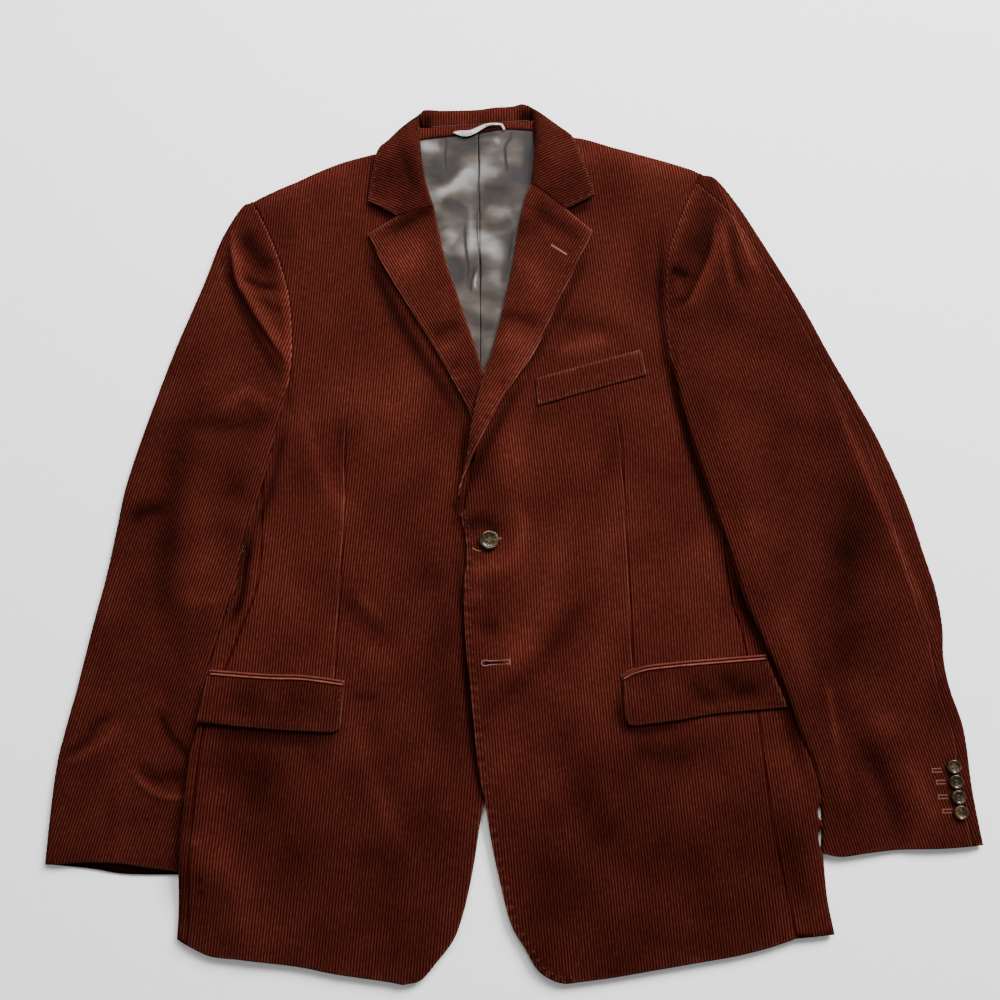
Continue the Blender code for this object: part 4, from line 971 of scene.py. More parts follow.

# Fronts and side panels
# Each fold row is its run, half width, height and shade. The shade is painted highlight and painted shade for
# the light on the folds; the rows of no height are painted shadows beside the lapels, the front edge, the
# gorge, the flaps and the sleeves, painted shade in the side gaps and the buttonhole's eye, and painted
# highlight along the shoulders. The first row of each side paints the skirt darker, painted shade for less
# light there.
fronts = {
    "R": {
        "grain": [(-139.5, 368.5), (-151, 220), (-162, 75), (-181, -139), (-204, -430)],
        "sideGrain": [(-139.5, 368.5), (-151, 220), (-162, 75), (-160.5, 0), (-167, -90), (-173, -171)],
        "stripGrain": [(-246, 60), (-285, -430)],
        "split": (-139.5, 368.5), "pocketEnd": (-274.4, -164), "dartTop": 82,
        "flat": (0.32, 0.83), "sideFlat": (0.12, 0.47), "puckers": (5.5, 9.0, 0.1, 0.12),
        "creases": [
            ([(-300, -340), (-20, -340)], 115, 0, -0.38),
            ([(-206, 96), (-195, 61), (-180, 27), (-162, 1)], 8, 1.2, 0.45),
            ([(-215, 61), (-203, 7)], 8.5, -0.7, -0.25), ([(-170, 96), (-163, 41)], 5, -0.6, -0.35),
            ([(-163, 14), (-161, -13)], 3, 0.4, 0.5),
            ([(-125, 151), (-110, 111), (-124, 81)], 27, 0.9, 0.5),
            ([(-153, 91), (-152, 71)], 7.5, -0.5, -0.25),
            ([(-156, 22), (-108, 12), (-70, 41)], 19.5, -0.6, -0.2),
            ([(-263, -45), (-219, -83), (-199, -134)], 32.5, 0.8, 0.32),
            ([(-160, -81), (-142, -102), (-115, -120)], 6.5, -1, -0.5),
            ([(-148, -79), (-125, -100)], 5, 0.8, 0.35), ([(-90, -60), (-65, -62)], 10.5, -0.8, -0.45),
            ([(-64, -83), (-72, -157), (-57, -234)], 17.5, -0.9, -0.5),
            ([(-141, -130), (-106, -153)], 14.5, 0.8, 0.35),
            ([(-151, -173), (-122, -173)], 3.5, -0.8, -0.45),
            ([(-283, -216), (-232, -243), (-249, -278)], 21, -0.9, -0.5),
            ([(-196, -220), (-164, -228)], 11.5, -0.5, -0.35),
            ([(-281, -304), (-254, -334), (-237, -389)], 15.5, 1.2, 0.5),
            ([(-147, -207), (-133, -247), (-114, -284), (-94, -313)], 8.5, 1, 0.35),
            ([(-131, -202), (-123, -216)], 6.5, -0.6, -0.35),
            ([(-148, -315), (-89, -315)], 11.5, -0.6, -0.3),
            ([(-192, -356), (-188, -381)], 7.5, 0.4, 0.2), ([(-139, -384), (-115, -389)], 6, 0.4, 0.3),
            ([(-110, -400), (-102, -400)], 7.5, -0.4, -0.3),
            ([(-46, 91), (-50, 41), (-55, -17)], 4.5, 0, -0.85),
            ([(-53, -45), (-47, -102), (-43, -166), (-37, -220), (-28, -269)], 4.5, 0, -1),
            ([(-148, 272), (-127, 223), (-102, 176), (-75, 133), (-49, 93)], 6, 0, -1),
            ([(-137, 252), (-111, 192), (-71, 126)], 13.5, 0, -0.35),
            ([(-147, 310), (-133, 304), (-119, 296)], 5, 0, -1),
            ([(-291, -201), (-233, -207), (-178, -210), (-160, -202)], 6, 0, -1),
            ([(-221, 86), (-228, 41), (-236, 9), (-250, -21)], 5, 0, -0.9),
            ([(-223, 161), (-215, 126), (-220, 91)], 3, 0, -0.4),
            ([(-222, 275), (-183, 302), (-133, 328)], 17.5, 0, 0.15),
            ([(-293, -300), (-279, -301)], 5, 0.6, 0.4), ([(-286, -334), (-277, -338)], 4, -0.6, -0.5),
            ([(-285, -345), (-274, -348)], 4, -0.6, -0.5),
            ([(-295, -265), (-297, -317), (-300, -377)], 6.5, 0, -0.35),
            ([(-142, 362), (-175, 352), (-215, 333), (-258, 313)], 8, 0, 0.4),
            ([(-250, -22), (-253, -50), (-256, -80), (-266, -105)], 4.5, -1.0, -1.6),
        ],
    },
    "L": {
        "grain": [(62, 381.5), (82, 232), (102, 86), (111, 0), (119, -140), (144, -430)],
        "sideGrain": [(62, 381.5), (82, 232), (102, 86), (104, 20), (107, -60), (111, -165)],
        "stripGrain": [(212, 60), (275, -430)],
        "split": (62, 387.2), "pocketEnd": (221, -157), "dartTop": 92,
        "flat": (0.36, 0.83), "sideFlat": (0.12, 0.47), "puckers": (6.0, 8.6, 0.22, 0.42),
        "creases": [
            ([(-20, -340), (280, -340)], 115, 0, -0.52),
            ([(41, 160), (70, 167), (97, 173)], 6.5, 0.8, 0.9),
            ([(-49, -14), (-30, -9), (-10, -21)], 6.5, -1.4, -0.95),
            ([(-5, 79), (6, 41)], 11.5, 0.9, 0.5),
            ([(-2, 7), (9, -15), (0, -42), (-18, -60)], 6.5, 1.2, 0.55),
            ([(-41, -58), (-26, -55), (-11, -43)], 8.5, 1.4, 1), ([(-41, -81), (-28, -80)], 5, 0.6, 0.7),
            ([(-41, -93), (-30, -93)], 3, -0.4, -0.4), ([(-32, -107), (-9, -109)], 7.5, -0.9, -0.6),
            ([(-41, -120), (-28, -121)], 5, 0.4, 0.3),
            ([(46, -21), (29, -83), (8, -125), (-27, -164)], 12.5, 1, 0.35),
            ([(85, -74), (54, -102), (29, -137), (-2, -166), (-24, -186)], 8.5, -1.2, -0.5),
            ([(104, -92), (82, -125), (59, -166)], 12.5, 0.9, 0.28),
            ([(-29, -183), (-13, -190)], 6.5, -0.5, -0.35), ([(-33, -201), (-20, -201)], 4, -0.3, -0.3),
            ([(-33, -219), (-20, -219)], 4, 0.3, 0.2),
            ([(118, -92), (176, -45), (189, -83)], 27, 0.5, 0.2),
            ([(55, -236), (69, -278), (88, -310)], 13.5, -0.9, -0.38),
            ([(78, -243), (98, -275)], 8.5, 0.6, 0.22), ([(28, -265), (34, -291)], 11.5, -0.4, -0.2),
            ([(91, -326), (112, -356)], 15.5, 0.4, 0.15), ([(112, -385), (178, -394)], 9.5, -0.4, -0.22),
            ([(106, -217), (138, -226), (170, -219)], 12.5, -0.6, -0.6),
            ([(98, -166), (99, -195), (116, -203), (162, -195)], 5, 0, -1),
            ([(171, -190), (191, -195)], 5, 0.3, 0.35),
            ([(46, 190), (85, 186), (110, 179)], 8.5, -0.6, -0.5),
            ([(77, 267), (56, 221), (32, 174), (12, 139)], 4, 0, -0.6),
            ([(8, 129), (-7, 101), (-25, 66), (-41, 32), (-48, 9)], 6, 0, -1),
            ([(-13, 71), (-32, 32)], 11.5, 0, -0.3), ([(53, 304), (67, 309), (79, 314)], 5, 0, -1),
            ([(150, 291), (146, 212), (149, 166), (155, 126), (165, 86), (175, 46), (189, -7),
              (195, -34)], 4.5, 0, -1),
            ([(195, -34), (214, -83), (234, -139), (252, -186), (263, -227), (271, -251)], 6.5, 0, -1),
            ([(127, 286), (135, 212)], 13.5, 0, -0.35),
            ([(242, -265), (253, -317), (265, -377)], 11.5, -0.5, -0.35),
            ([(103, 91), (93, 51), (73, 30)], 7.5, -0.5, -0.3),
            ([(31, 121), (45, 101), (11, 91)], 8.5, -0.5, -0.3),
            ([(88, 334), (127, 318)], 19.5, 0, -0.12),
            ([(-28, -142), (-25, -141.8), (-4, -140.7)], 1.3, -0.3, -2.5),
            ([(72, 379), (109, 368), (149, 356), (188, 341)], 9, 0, 0.55),
            ([(60, 384), (66, 366), (90, 352)], 5, 0.4, 0.3),
        ],
    },
}
rollInset, neckTop, edgeStop = 8.0 * mm, 0.386, -12
hemPucker = (5.0, 17.0, 0.08, 0.08)
frontGrain = {}
for side, front in fronts.items():
    word = sides[side]
    grain, sideGrain, stripGrain = (wales(front[key]) for key in ("grain", "sideGrain", "stripGrain"))
    frontGrain[side] = grain
    vLine = np.vstack([curves["roll" + side], curves["neckRoll" + side][1:]])
    vLine = sideways(vLine, rollInset * (1 if side == "R" else -1))
    vLine = vLine[vLine[:, 1] < neckTop + tableShift[1]]
    shoulder, seam = curves["shoulder" + side], curves["sideSeam" + side]
    split = nearestPoint(shoulder, np.array(front["split"]) * mm + tableShift)
    dart = curves["dart" + side].copy()
    dart[0] = shoulder[split]
    end = nearestPoint(seam, np.array(front["pocketEnd"]) * mm + tableShift)
    pocket = curves["pocket" + side].copy()
    pocket[-1] = seam[end]
    groove = [(dart[dart[:, 1] < front["dartTop"] * mm + tableShift[1]], 0.9, 0.9)]
    puckers = [(curves["edge" + side],) + front["puckers"], (curves["hem" + side],) + hemPucker]
    main = Sheet([(shoulder[:split + 1], "roll", "plain"), (dart, "join", "plain"), (pocket, "join", "plain"),
                  (seam[end:], "cut", "seam"), edge("hem" + side, look="free"),
                  (curves["edge" + side][:edgeStop], "cut", "free"), (vLine, "cut", "plain")],
                 grain, bodyLevel[side], creases=front["creases"], grooves=groove, puckers=puckers)
    outer = Sheet([(shoulder[split:], "roll", "plain"), edge("armhole" + side, sleeveUp[side]),
                   edge("underarm" + side, look="plain"), (seam[:end + 1], "cut", "seam"),
                   (pocket[::-1], "join", "plain"), (dart[::-1], "join", "plain")],
                  sideGrain, bodyLevel[side], creases=front["creases"], grooves=groove)
    makeUp("frontCloth_" + word, [main, outer], "front_" + word, restsOn=["back_" + word])
    sideFold = edge("sideFold" + side, "fold", "plain")
    strip = Sheet([sideFold, (seam[::-1], "cut", "seam")], stripGrain, bodyLevel[side], other=sideDown[side],
                  creases=front["creases"])
    under = Sheet([sideFold, edge("backSeam" + side, back=True)], stripGrain, sideDown[side], up=False,
                  other=bodyLevel[side])
    makeUp("sideCloth_" + word, [strip, under], "side_" + word)

# The backs, which the jacket lies on
backs = {"grain": [(-33, 398), (-33, -410)], "flat": {"R": (0.27, 0.81), "L": (0.30, 0.81)}}
backLevel = Level(["back_right", "back_left"], up=False)
for side, word in sides.items():
    around = [edge("centreBack"), edge("vent" + side, look="free"),
              edge("backHem" + side, look="free", back=True)]
    for name in ("backSeam", "backUnderarm", "armhole", "shoulder", "backNeck"):
        around.append(edge(name + side, back=True))
    sheet = Sheet(around, wales(backs["grain"], "hiddenRow"), backLevel, up=False)
    makeUp("backCloth_" + word, [sheet], "back_" + word)

# Sleeves, turned round the fore edge and round the outer fold
# Each fold row is its run, half width, height and shade: painted highlight and painted shade of the folds,
# with a painted shadow beside the folds of two half widths. Each sleeve's own tone darkens it all over,
# partly its nap, partly painted shade for less light there.
sleeves = {
    "R": {
        "grain": [(-250, 290), (-428, -330)], "flat": (0.24, 0.72), "brushedNapAndShade": -0.15,
        "creases": [
            ([(-250, 307), (-240, 279), (-229, 247), (-222, 211), (-218, 165),
              (-219, 118)], 5.5, 2.2, 0.85),
            ([(-271, 286), (-261, 267), (-246, 248), (-238, 236)], 9.5, -2.6, -1),
            ([(-268, 236), (-249, 227), (-228, 226)], 4.5, -1.6, -1),
            ([(-248, 212), (-236, 203), (-224, 200)], 4.5, -1.2, -0.7),
            ([(-281, 274), (-278, 257), (-273, 233), (-264, 217), (-255, 201), (-243, 183), (-231, 165),
              (-220, 150)], (9.0, 3.4), 3.2, 0.95),
            ([(-290, 262), (-281, 232), (-268, 200), (-252, 171), (-236, 147),
              (-227, 130)], 5.5, -1.6, -0.6), ([(-280, 286), (-279, 265), (-273, 248)], 3, 1, 0.4),
            ([(-288, 98), (-272, 110), (-258, 118), (-243, 108), (-229, 100)], 7.5, 2.4, 0.8),
            ([(-321, 90), (-287, 86), (-253, 85), (-228, 90)], 7.5, -1.8, -0.5),
            ([(-317, 98), (-323, 60), (-326, 21), (-328, -22), (-330, -65), (-322, -102),
              (-308, -125)], 14.5, -2, -0.8), ([(-366, -6), (-351, 3), (-331, 6)], 6.5, -1.4, -0.9),
            ([(-307, -3), (-276, 0), (-249, -17)], 11.5, 0.8, 0.3),
            ([(-275, 21), (-255, 19)], 7.5, -0.6, -0.3),
            ([(-312, -83), (-291, -85), (-271, -82)], 6.5, 1.6, 0.5),
            ([(-290, -27), (-289, -65)], 13.5, 0.8, 0.3),
            ([(-414, -227), (-393, -212), (-387, -199), (-366, -184)], 4, -1.6, -0.7),
            ([(-410, -234), (-382, -218), (-363, -197)], 5, 1.8, 0.6),
            ([(-407, -245), (-400, -264)], 8.5, 0.6, 0.35),
            ([(-329, -186), (-318, -207), (-305, -221), (-293, -233)], 4.5, -1.8, -0.75),
            ([(-346, -236), (-329, -245), (-296, -243)], 6, -2, -0.85),
            ([(-349, -241), (-336, -255), (-316, -263), (-296, -262)], 4, 1.8, 0.75),
            ([(-335, -180), (-318, -175)], 7.5, 0.8, 0.3), ([(-367, -256), (-367, -308)], 6, -0.8, -0.3),
            ([(-332, -282), (-327, -308)], 11.5, 0.5, 0.25),
            ([(-400, -295), (-401, -315)], 11.5, 0.5, 0.2),
        ],
    },
    "L": {
        "grain": [(180, 300), (364, -320)], "flat": (0.3, 0.72), "brushedNapAndShade": -0.3,
        "creases": [
            ([(186, 333), (173, 310), (163, 279), (155, 250)], 5, 2, 0.8),
            ([(199, 318), (189, 282), (175, 254)], 12.5, -2.4, -0.65),
            ([(157, 246), (167, 240), (178, 236)], 5, -1.4, -0.9),
            ([(203, 292), (198, 263), (185, 232), (171, 207), (154, 199)], (9.0, 4.0), 2.8, 0.75),
            ([(161, 232), (164, 211)], 6.5, 0.6, 0.3),
            ([(209, 292), (211, 254), (216, 219)], 4, 1.8, 0.6),
            ([(217, 292), (221, 252), (231, 217)], 4, -1.4, -0.6),
            ([(227, 292), (235, 258), (247, 232)], 5, 1.4, 0.7),
            ([(182, 165), (225, 145), (269, 160)], 23, 1, 0.25),
            ([(188, 206), (227, 190)], 13.5, -0.6, -0.2),
            ([(323, 41), (324, -8), (312, -65), (312, -121), (321, -166)], 21, -2.2, -0.6),
            ([(219, -3), (232, -27)], 12.5, 1.2, 0.35),
            ([(217, -38), (243, -89), (264, -139), (275, -166)], 13.5, 1.4, 0.3),
            ([(290, -161), (293, -193), (296, -225)], 4, 1.8, 0.75),
            ([(297, -229), (302, -273)], 7.5, 0.8, 0.35), ([(332, -189), (346, -211)], 12.5, 1.4, 0.5),
            ([(320, -216), (335, -242), (345, -270), (351, -306)], 10, -2.4, -0.7),
            ([(307, 125), (323, 80), (340, 31), (357, -12), (371, -55), (384, -93),
              (395, -120)], 5, 1.4, 0.8),
            ([(204, 337), (217, 315), (223, 293), (230, 269), (236, 250)], 2.4, 0.8, 0.8),
            ([(359, -229), (374, -270), (383, -297)], 9.5, 1.2, 0.35),
            ([(236, 60), (273, 41)], 19.5, -0.6, -0.15), ([(277, -121), (284, -157)], 7.5, -0.6, -0.2),
        ],
    },
}
foreTurn, underarmGap, blend = 16 * mm, 4 * mm, 40
for side, sleeve in sleeves.items():
    word, out = sides[side], -1 if side == "R" else 1
    inner, outer, hind = curves["inner" + side], curves["outer" + side], curves["hind" + side]
    grain, underGrain = wales(sleeve["grain"]), wales(sleeve["grain"], "hiddenRow")
    underEdge = sideways(inner, foreTurn * out)
    bend = np.linspace(1, 0, blend)[:, None]**2
    underEdge[:blend] += (inner[0] + np.array([0.75 * out, -0.25]) * foreTurn - underEdge[0]) * bend
    underEdge[-blend:] += (inner[-1] + np.array([out, 0]) * foreTurn - underEdge[-1]) * bend[::-1]
    armhole = curves["armhole" + side]
    begin = nearestPoint(armhole, hind[0]) + 1
    underArmhole = armhole + np.array([0, 1]) * underarmGap * np.linspace(0, 1, len(armhole))[:, None]**4
    cuffUnder = curves["cuffUnder" + side]
    cuffUnder = cuffUnder[np.abs(cuffUnder[:, 0] - inner[-1, 0]) > 1.25 * foreTurn]
    shown = {"grain": grain, "level": sleeveUp[side], "other": sleeveDown[side], "creases": sleeve["creases"],
             "brushedNapAndShade": sleeve["brushedNapAndShade"]}
    below = {"level": sleeveDown[side], "up": False, "other": sleeveUp[side]}
    top = Sheet([(armhole[begin:], bodyLevel[side], "ridge"), (inner, "fold", "plain"),
                 edge("cuff" + side, look="free"), (hind[::-1], "cut", "ridge")],
                puckers=[(armhole[begin:], 5.0, 6.5, 0.12, 0.22)], **shown)
    turned = Sheet([(inner, "fold", "plain"), (underEdge[::-1], "cut", "seam")], grain, **below)
    strip = Sheet([(outer, "fold", "plain"), (hind[::-1], "cut", "plain"),
                   (armhole[:begin][::-1], bodyLevel[side], "plain")], **shown)
    under = Sheet([(underArmhole, "cut", "plain"), (underEdge, "cut", "seam"), (cuffUnder, "cut", "free"),
                   (outer[::-1], "fold", "plain")], underGrain, **below)
    for name, node, sheets in (("topSleeve_", "top_sleeve_", [top, turned]),
                               ("underSleeve_", "under_sleeve_", [under, strip])):
        makeUp(name + word, sheets, node + word, restsOn=["front_" + word])

# Lining, neck facing and hanger loop inside the neck
# The fold rows give the lining's pleats and wrinkles height and paint them lighter and darker, as painted
# reflections and painted shade of satin; the thin dark rows are painted shade in the pleats and the centre
# seam's dark line, and the dark rows at the collar's corner and under the facing are painted shade.
neck = {
    "liningColumn": 1.0 * mm, "liningRow": 3 * mm,
    "creases": [
        ([(-92, 376), (-80, 377), (-70, 379)], 6.5, 0.3, 1.2),
        ([(-86, 362), (-74, 357), (-61, 355), (-73, 344)], 9.7, -0.4, -1),
        ([(-81, 326), (-67, 330), (-57, 337), (-47, 348), (-35, 355)], 5.9, 0.9, 1.3),
        ([(-73, 318), (-58, 313), (-49, 323)], 7.6, -0.4, -1),
        ([(-35, 355), (-19, 349), (-10, 342)], 7.6, 0.4, 0.8),
        ([(-31, 332), (-17, 329), (-7, 327)], 5.9, -0.4, -0.9),
        ([(-29, 312), (-13, 306), (1, 310)], 9.7, 0.5, 0.9),
        ([(-29, 291), (-13, 293), (3, 300)], 5.4, -0.4, -0.8),
        ([(-68, 291), (-60, 280), (-53, 276)], 8.6, 0.4, 1),
        ([(-61, 263), (-55, 247), (-52, 226)], 7.6, -0.4, -0.8),
        ([(-27, 276), (-17, 259), (-21, 236)], 9.7, 0.4, 0.8),
        ([(-3, 280), (-5, 263), (-8, 244), (-10, 224)], 3.8, -0.5, -1.1),
        ([(17, 389), (16, 362), (12, 335)], 4.9, 0, -1.4),
        ([(-43, 313), (-42, 287), (-41, 260)], 3.2, 0.4, 0.7),
        ([(-69, 386), (-68, 378), (-69, 364), (-68, 346)], 1.0, -0.3, -2.2),
        ([(-2, 391), (-2, 385), (-7, 379), (-8, 372), (-7, 361), (-6, 346)], 1.0, -0.3, -2.2),
        ([(-48, 293), (-48, 277), (-46, 257), (-45, 224)], 1.2, -0.3, -1.8),
        ([(0, 286), (-4, 270), (-6, 253)], 1.3, -0.3, -1.4),
        ([(-36, 390), (-35, 374), (-34, 353), (-35, 335), (-35, 315), (-36, 296), (-35, 277), (-33, 257),
          (-32, 245), (-33, 217)], 0.7, -0.3, -1.4),
        ([(-39, 247), (-42, 236), (-43, 221)], 1.3, -0.5, -1.2),
        ([(-36, 244), (-38, 232), (-37, 221)], 1.3, 0.5, 1.2),
        ([(-58, 387), (-43, 387), (-29, 390), (-13, 390)], 3.2, 0, -1.6),
        ([(-51, 376), (-33, 378), (-15, 379)], 5.4, -0.3, -0.5),
        ([(-19, 381), (-10, 386)], 4.3, 0.3, 0.8),
    ],
    "ribbon": [
        [(-60.5, 391), (-55, 392.6), (-44, 393), (-40, 394.5), (-34, 397.5), (-27, 400), (-13, 400.8),
        (-9.5, 398.5), (-7.5, 393.5)],
        [(-7.5, 393.5), (-9.5, 392.5)],
        [(-9.5, 392.5), (-12, 397.3), (-14, 398.4), (-23, 397.6), (-27, 396.2), (-33, 392.6),
        (-38, 389.2), (-44, 386.8), (-50, 386), (-55, 387.6), (-60.5, 390)],
        [(-60.5, 390), (-60.5, 391)],
    ],
    "ribbonGrain": [(-60, 390.5), (-46, 389.5), (-28, 398), (-7, 398)],
    "ribbonCreases": [([(-52, 389), (-38, 392)], 2.5, 1.0, 0), ([(-28, 398), (-12, 399)], 2.5, 1.2, 0)],
}
liningGrain = Grain([(-34, 400), (-32, 110)], neck["liningColumn"], neck["liningRow"])
for side, word in sides.items():
    sheet = Sheet([edge("facingLow" + side), edge("liningSide" + side, look="plain"),
                   edge("liningSeam", look="plain", back=True)],
                  liningGrain, neckLevel, creases=neck["creases"], wall=0.8, edgeDrop=0.6)
    makeUp("liningCloth_" + word, [sheet], "back_lining_" + word, restsOn=["back_" + word],
           slot="lining")
sheet = Sheet([edge("facingTop", collarUp, "plain"), edge("facingLowL", back=True), edge("facingLowR")],
              wales([(-33, 398), (-33, 380)]), neckLevel, wall=1.0, edgeDrop=0.5)
makeUp("neckFacing", [sheet], "back_neck_facing", restsOn=["back_right", "back_left"])
sheet = Sheet([(curveThrough(points), "cut", "plain") for points in neck["ribbon"]],
              Grain(neck["ribbonGrain"], 0.6 * mm, 1.2 * mm), Level(["hanger_loop"], soft=3 * mm), wall=0.8,
              edgeDrop=0.5, creases=neck["ribbonCreases"])
makeUp("hangerRibbon", [sheet], "hanger_loop", restsOn=["back_neck_facing"], slot="loop")

# Pocket flaps with their jets, and the chest pocket's welt
# The flaps' fold rows paint highlight and shade on their folds; each flap is painted darker all over and each
# jet lighter. The welt's rows are painted shade and a painted highlight at its end, with no height.
pockets = {
    "flap_right": {
        "flat": (0.132, 0.045),
        "lines": [
            [(-283, -153), (-230, -157), (-196, -158), (-158, -163)], [(-158, -163), (-159, -197)],
            [(-159, -197), (-161, -202), (-167, -205)],
            [(-167, -205), (-211, -203), (-258, -199), (-290, -195)], [(-290, -195), (-283, -153)],
        ],
        "creases": [
            ([(-266, -175), (-234, -177)], 11.5, -0.2, -0.3),
            ([(-211, -173), (-174, -177)], 12.5, -0.2, -0.35),
            ([(-283, -192), (-224, -195), (-164, -201)], 4, 0.2, 0.3),
            ([(-225, -166), (-219, -189)], 6, 0.2, 0.2),
        ],
    },
    "flap_left": {
        "flat": (0.152, 0.046),
        "lines": [
            [(101, -158), (116, -151), (151, -146), (236, -139)], [(236, -139), (253, -182)],
            [(253, -182), (219, -185), (186, -188), (150, -194), (112, -199)],
            [(112, -199), (106, -198), (103, -192)], [(103, -192), (101, -158)],
        ],
        "creases": [
            ([(105, -161), (118, -179)], 12.5, 0.2, 0.35),
            ([(163, -154), (173, -168), (191, -175)], 7.5, -0.5, -0.6),
            ([(192, -150), (210, -166), (231, -161)], 9.5, -0.4, -0.7),
            ([(137, -153), (149, -175)], 6.5, 0.3, 0.25),
            ([(171, -183), (203, -179), (231, -175)], 5, 0.3, 0.45),
        ],
    },
    "jetWidth": 5.5, "jetGap": 0.3,
    "welt": [
        [(22, 133), (74, 148), (125, 162)], [(125, 162), (130, 136)], [(130, 136), (77, 121), (23, 105)],
        [(23, 105), (22, 133)],
    ],
    "weltPaintedLight": [
        ([(23, 144), (46, 148)], 6.5, 0, -0.4), ([(60, 140), (104, 152)], 6, 0, -0.3),
        ([(118, 166), (123, 150)], 4, 0, 0.6),
    ],
}
flapEnds = {}
for side, word in sides.items():
    flap = pockets["flap_" + word]
    top, *rest = [curveThrough(points) for points in flap["lines"]]
    flapEnds[word] = rest[0]
    sheet = Sheet([(top, "cut", "seam")] + [(line, "cut", "free") for line in rest], frontGrain[side],
                  Level(["pocket_flap_" + word], soft=5 * mm), creases=flap["creases"], wall=2.0,
                  edgeDrop=1.1, brushedNapAndShade=-0.45)
    makeUp("flapCloth_" + word, [sheet], "pocket_flap_" + word, restsOn=["front_" + word])
    low = sideways(top, pockets["jetGap"] * mm)
    high = sideways(top, (pockets["jetGap"] + pockets["jetWidth"]) * mm)
    middle = (low + high) / 2
    along = [tuple((p - tableShift) / mm) for p in middle[::max(1, len(middle) // 6)]]
    sheet = Sheet([(low, "cut", "free"), (high[::-1], "cut", "ridge")], Grain(along, 0.55 * mm, 3 * mm),
                  Level(["pocket_jet_" + word], soft=4 * mm), wall=1.2, brushedNapAndShade=0.7,
                  grooves=[(middle, 0.8, 0.5)])
    makeUp("jetCloth_" + word, [sheet], "pocket_jet_" + word, restsOn=["front_" + word])
weltLines = [curveThrough(points) for points in pockets["welt"]]
sheet = Sheet([(line, "cut", "free") for line in weltLines], frontGrain["L"],
              Level(["chest_pocket_welt"], soft=4 * mm), creases=pockets["weltPaintedLight"], wall=1.4,
              edgeDrop=1.5)
makeUp("weltCloth", [sheet], "chest_pocket_welt", restsOn=["front_left"])

# Lapels, and the collar with a leaf under two wings and a stand
# Fold rows on the lapels and the collar: painted highlight and painted shade of their folds, a painted shadow
# along each gorge, and painted shade in the collar's roll corners. Each lapel and wing is also painted a
# little lighter or darker all over, partly its nap, partly painted shade.
turnover = {
    "R": {
        "grain": [(-130, 260), (46.7, -40)], "wing": [(-145, 348), (-115, 337), (-85, 324)],
        "wingNapAndShade": -0.35, "nap": -0.1,
        "creases": [
            ([(-79, 311), (-102, 296), (-126, 281)], 6, -0.4, -1),
            ([(-130, 268), (-110, 251), (-87, 276)], 16.5, 0.8, 0.85),
            ([(-107, 227), (-99, 212)], 9.5, -0.3, -0.15),
            ([(-80, 177), (-66, 182), (-49, 189)], 6.5, -0.9, -0.9),
            ([(-75, 158), (-56, 167)], 4.5, 0.8, 0.5), ([(-63, 144), (-48, 150)], 5, -0.5, -0.45),
            ([(-61, 130), (-42, 136)], 3, 0.4, 0.4), ([(-50, 114), (-36, 118)], 5, -0.4, -0.5),
            ([(-74, 212), (-60, 216)], 7.5, 0.3, 0.2),
        ],
    },
    "L": {
        "grain": [(60, 250), (-106, -50)], "wing": [(85, 350), (15, 319)],
        "wingNapAndShade": -0.35, "nap": 0.1,
        "creases": [
            ([(20, 313), (40, 296), (70, 276)], 7, -0.4, -0.95), ([(9, 301), (14, 276)], 11.5, 0, -0.5),
            ([(11, 255), (21, 232), (31, 208)], 10.5, 0.8, 0.65),
            ([(60, 251), (48, 220)], 6, -0.3, -0.25), ([(-12, 197), (7, 195), (33, 184)], 6, -0.9, -0.95),
            ([(-15, 176), (9, 166), (14, 154), (-5, 136)], 12.5, 0.8, 0.9),
            ([(-13, 129), (-1, 126)], 4, -0.4, -0.5), ([(-23, 118), (-13, 108)], 6.5, 0.4, 0.45),
            ([(-28, 92), (-17, 86)], 5, -0.3, -0.4), ([(-30, 70), (-22, 66)], 4, 0.2, 0.3),
        ],
    },
    "collar": [
        ([(-88, 412), (-89, 387)], 6, 0, -1.5), ([(12, 418), (16, 389)], 8, 0, -1.9),
        ([(-111, 372), (-103, 348), (-95, 324)], 6, -0.3, -0.6),
        ([(-129, 359), (-121, 332)], 6, -0.3, -0.35), ([(-124, 378), (-131, 346)], 4, 0.3, 0.3),
        ([(-145, 320), (-128, 313), (-109, 311)], 3.5, 0.2, 0.45),
        ([(33, 380), (47, 348)], 11.5, 0.3, 0.25), ([(22, 324), (43, 316)], 7.5, -0.3, -0.4),
        ([(17, 370), (14, 353)], 4, 0, -0.6), ([(37, 305), (62, 292), (78, 280)], 3, 0.2, 0.6),
        ([(-58, 409), (-43, 400)], 8.5, 0.2, 0.35), ([(-23, 411), (-8, 404)], 7.5, 0.2, 0.3),
    ],
}
wings = []
for side, word in sides.items():
    turn = turnover[side]
    lapel = Sheet([edge("roll" + side, "roll", "free"), edge("gorge" + side, collarUp),
                   edge("lapelTop" + side, look="free"), edge("lapel" + side, look="free")],
                  wales(turn["grain"]), lapelLevel[side], creases=turn["creases"], wall=2.0, edgeDrop=1.0,
                  brushedNapAndShade=turn["nap"])
    makeUp("lapelCloth_" + word, [lapel], "lapel_" + word,
           restsOn=["front_" + word])
    wing = Sheet([edge("neckRoll" + side, "roll", "free"), edge("collarFold" + side, "crossFold", "plain"),
                  edge("collarLeaf" + side, look="free"), edge("collarEnd" + side, look="free"),
                  edge("gorge" + side, lapelLevel[side], back=True)], wales(turn["wing"]), collarUp,
                 other=collarDown, creases=turnover["collar"], wall=2.0, edgeDrop=1.0,
                 brushedNapAndShade=turn["wingNapAndShade"])
    wings.append(wing)
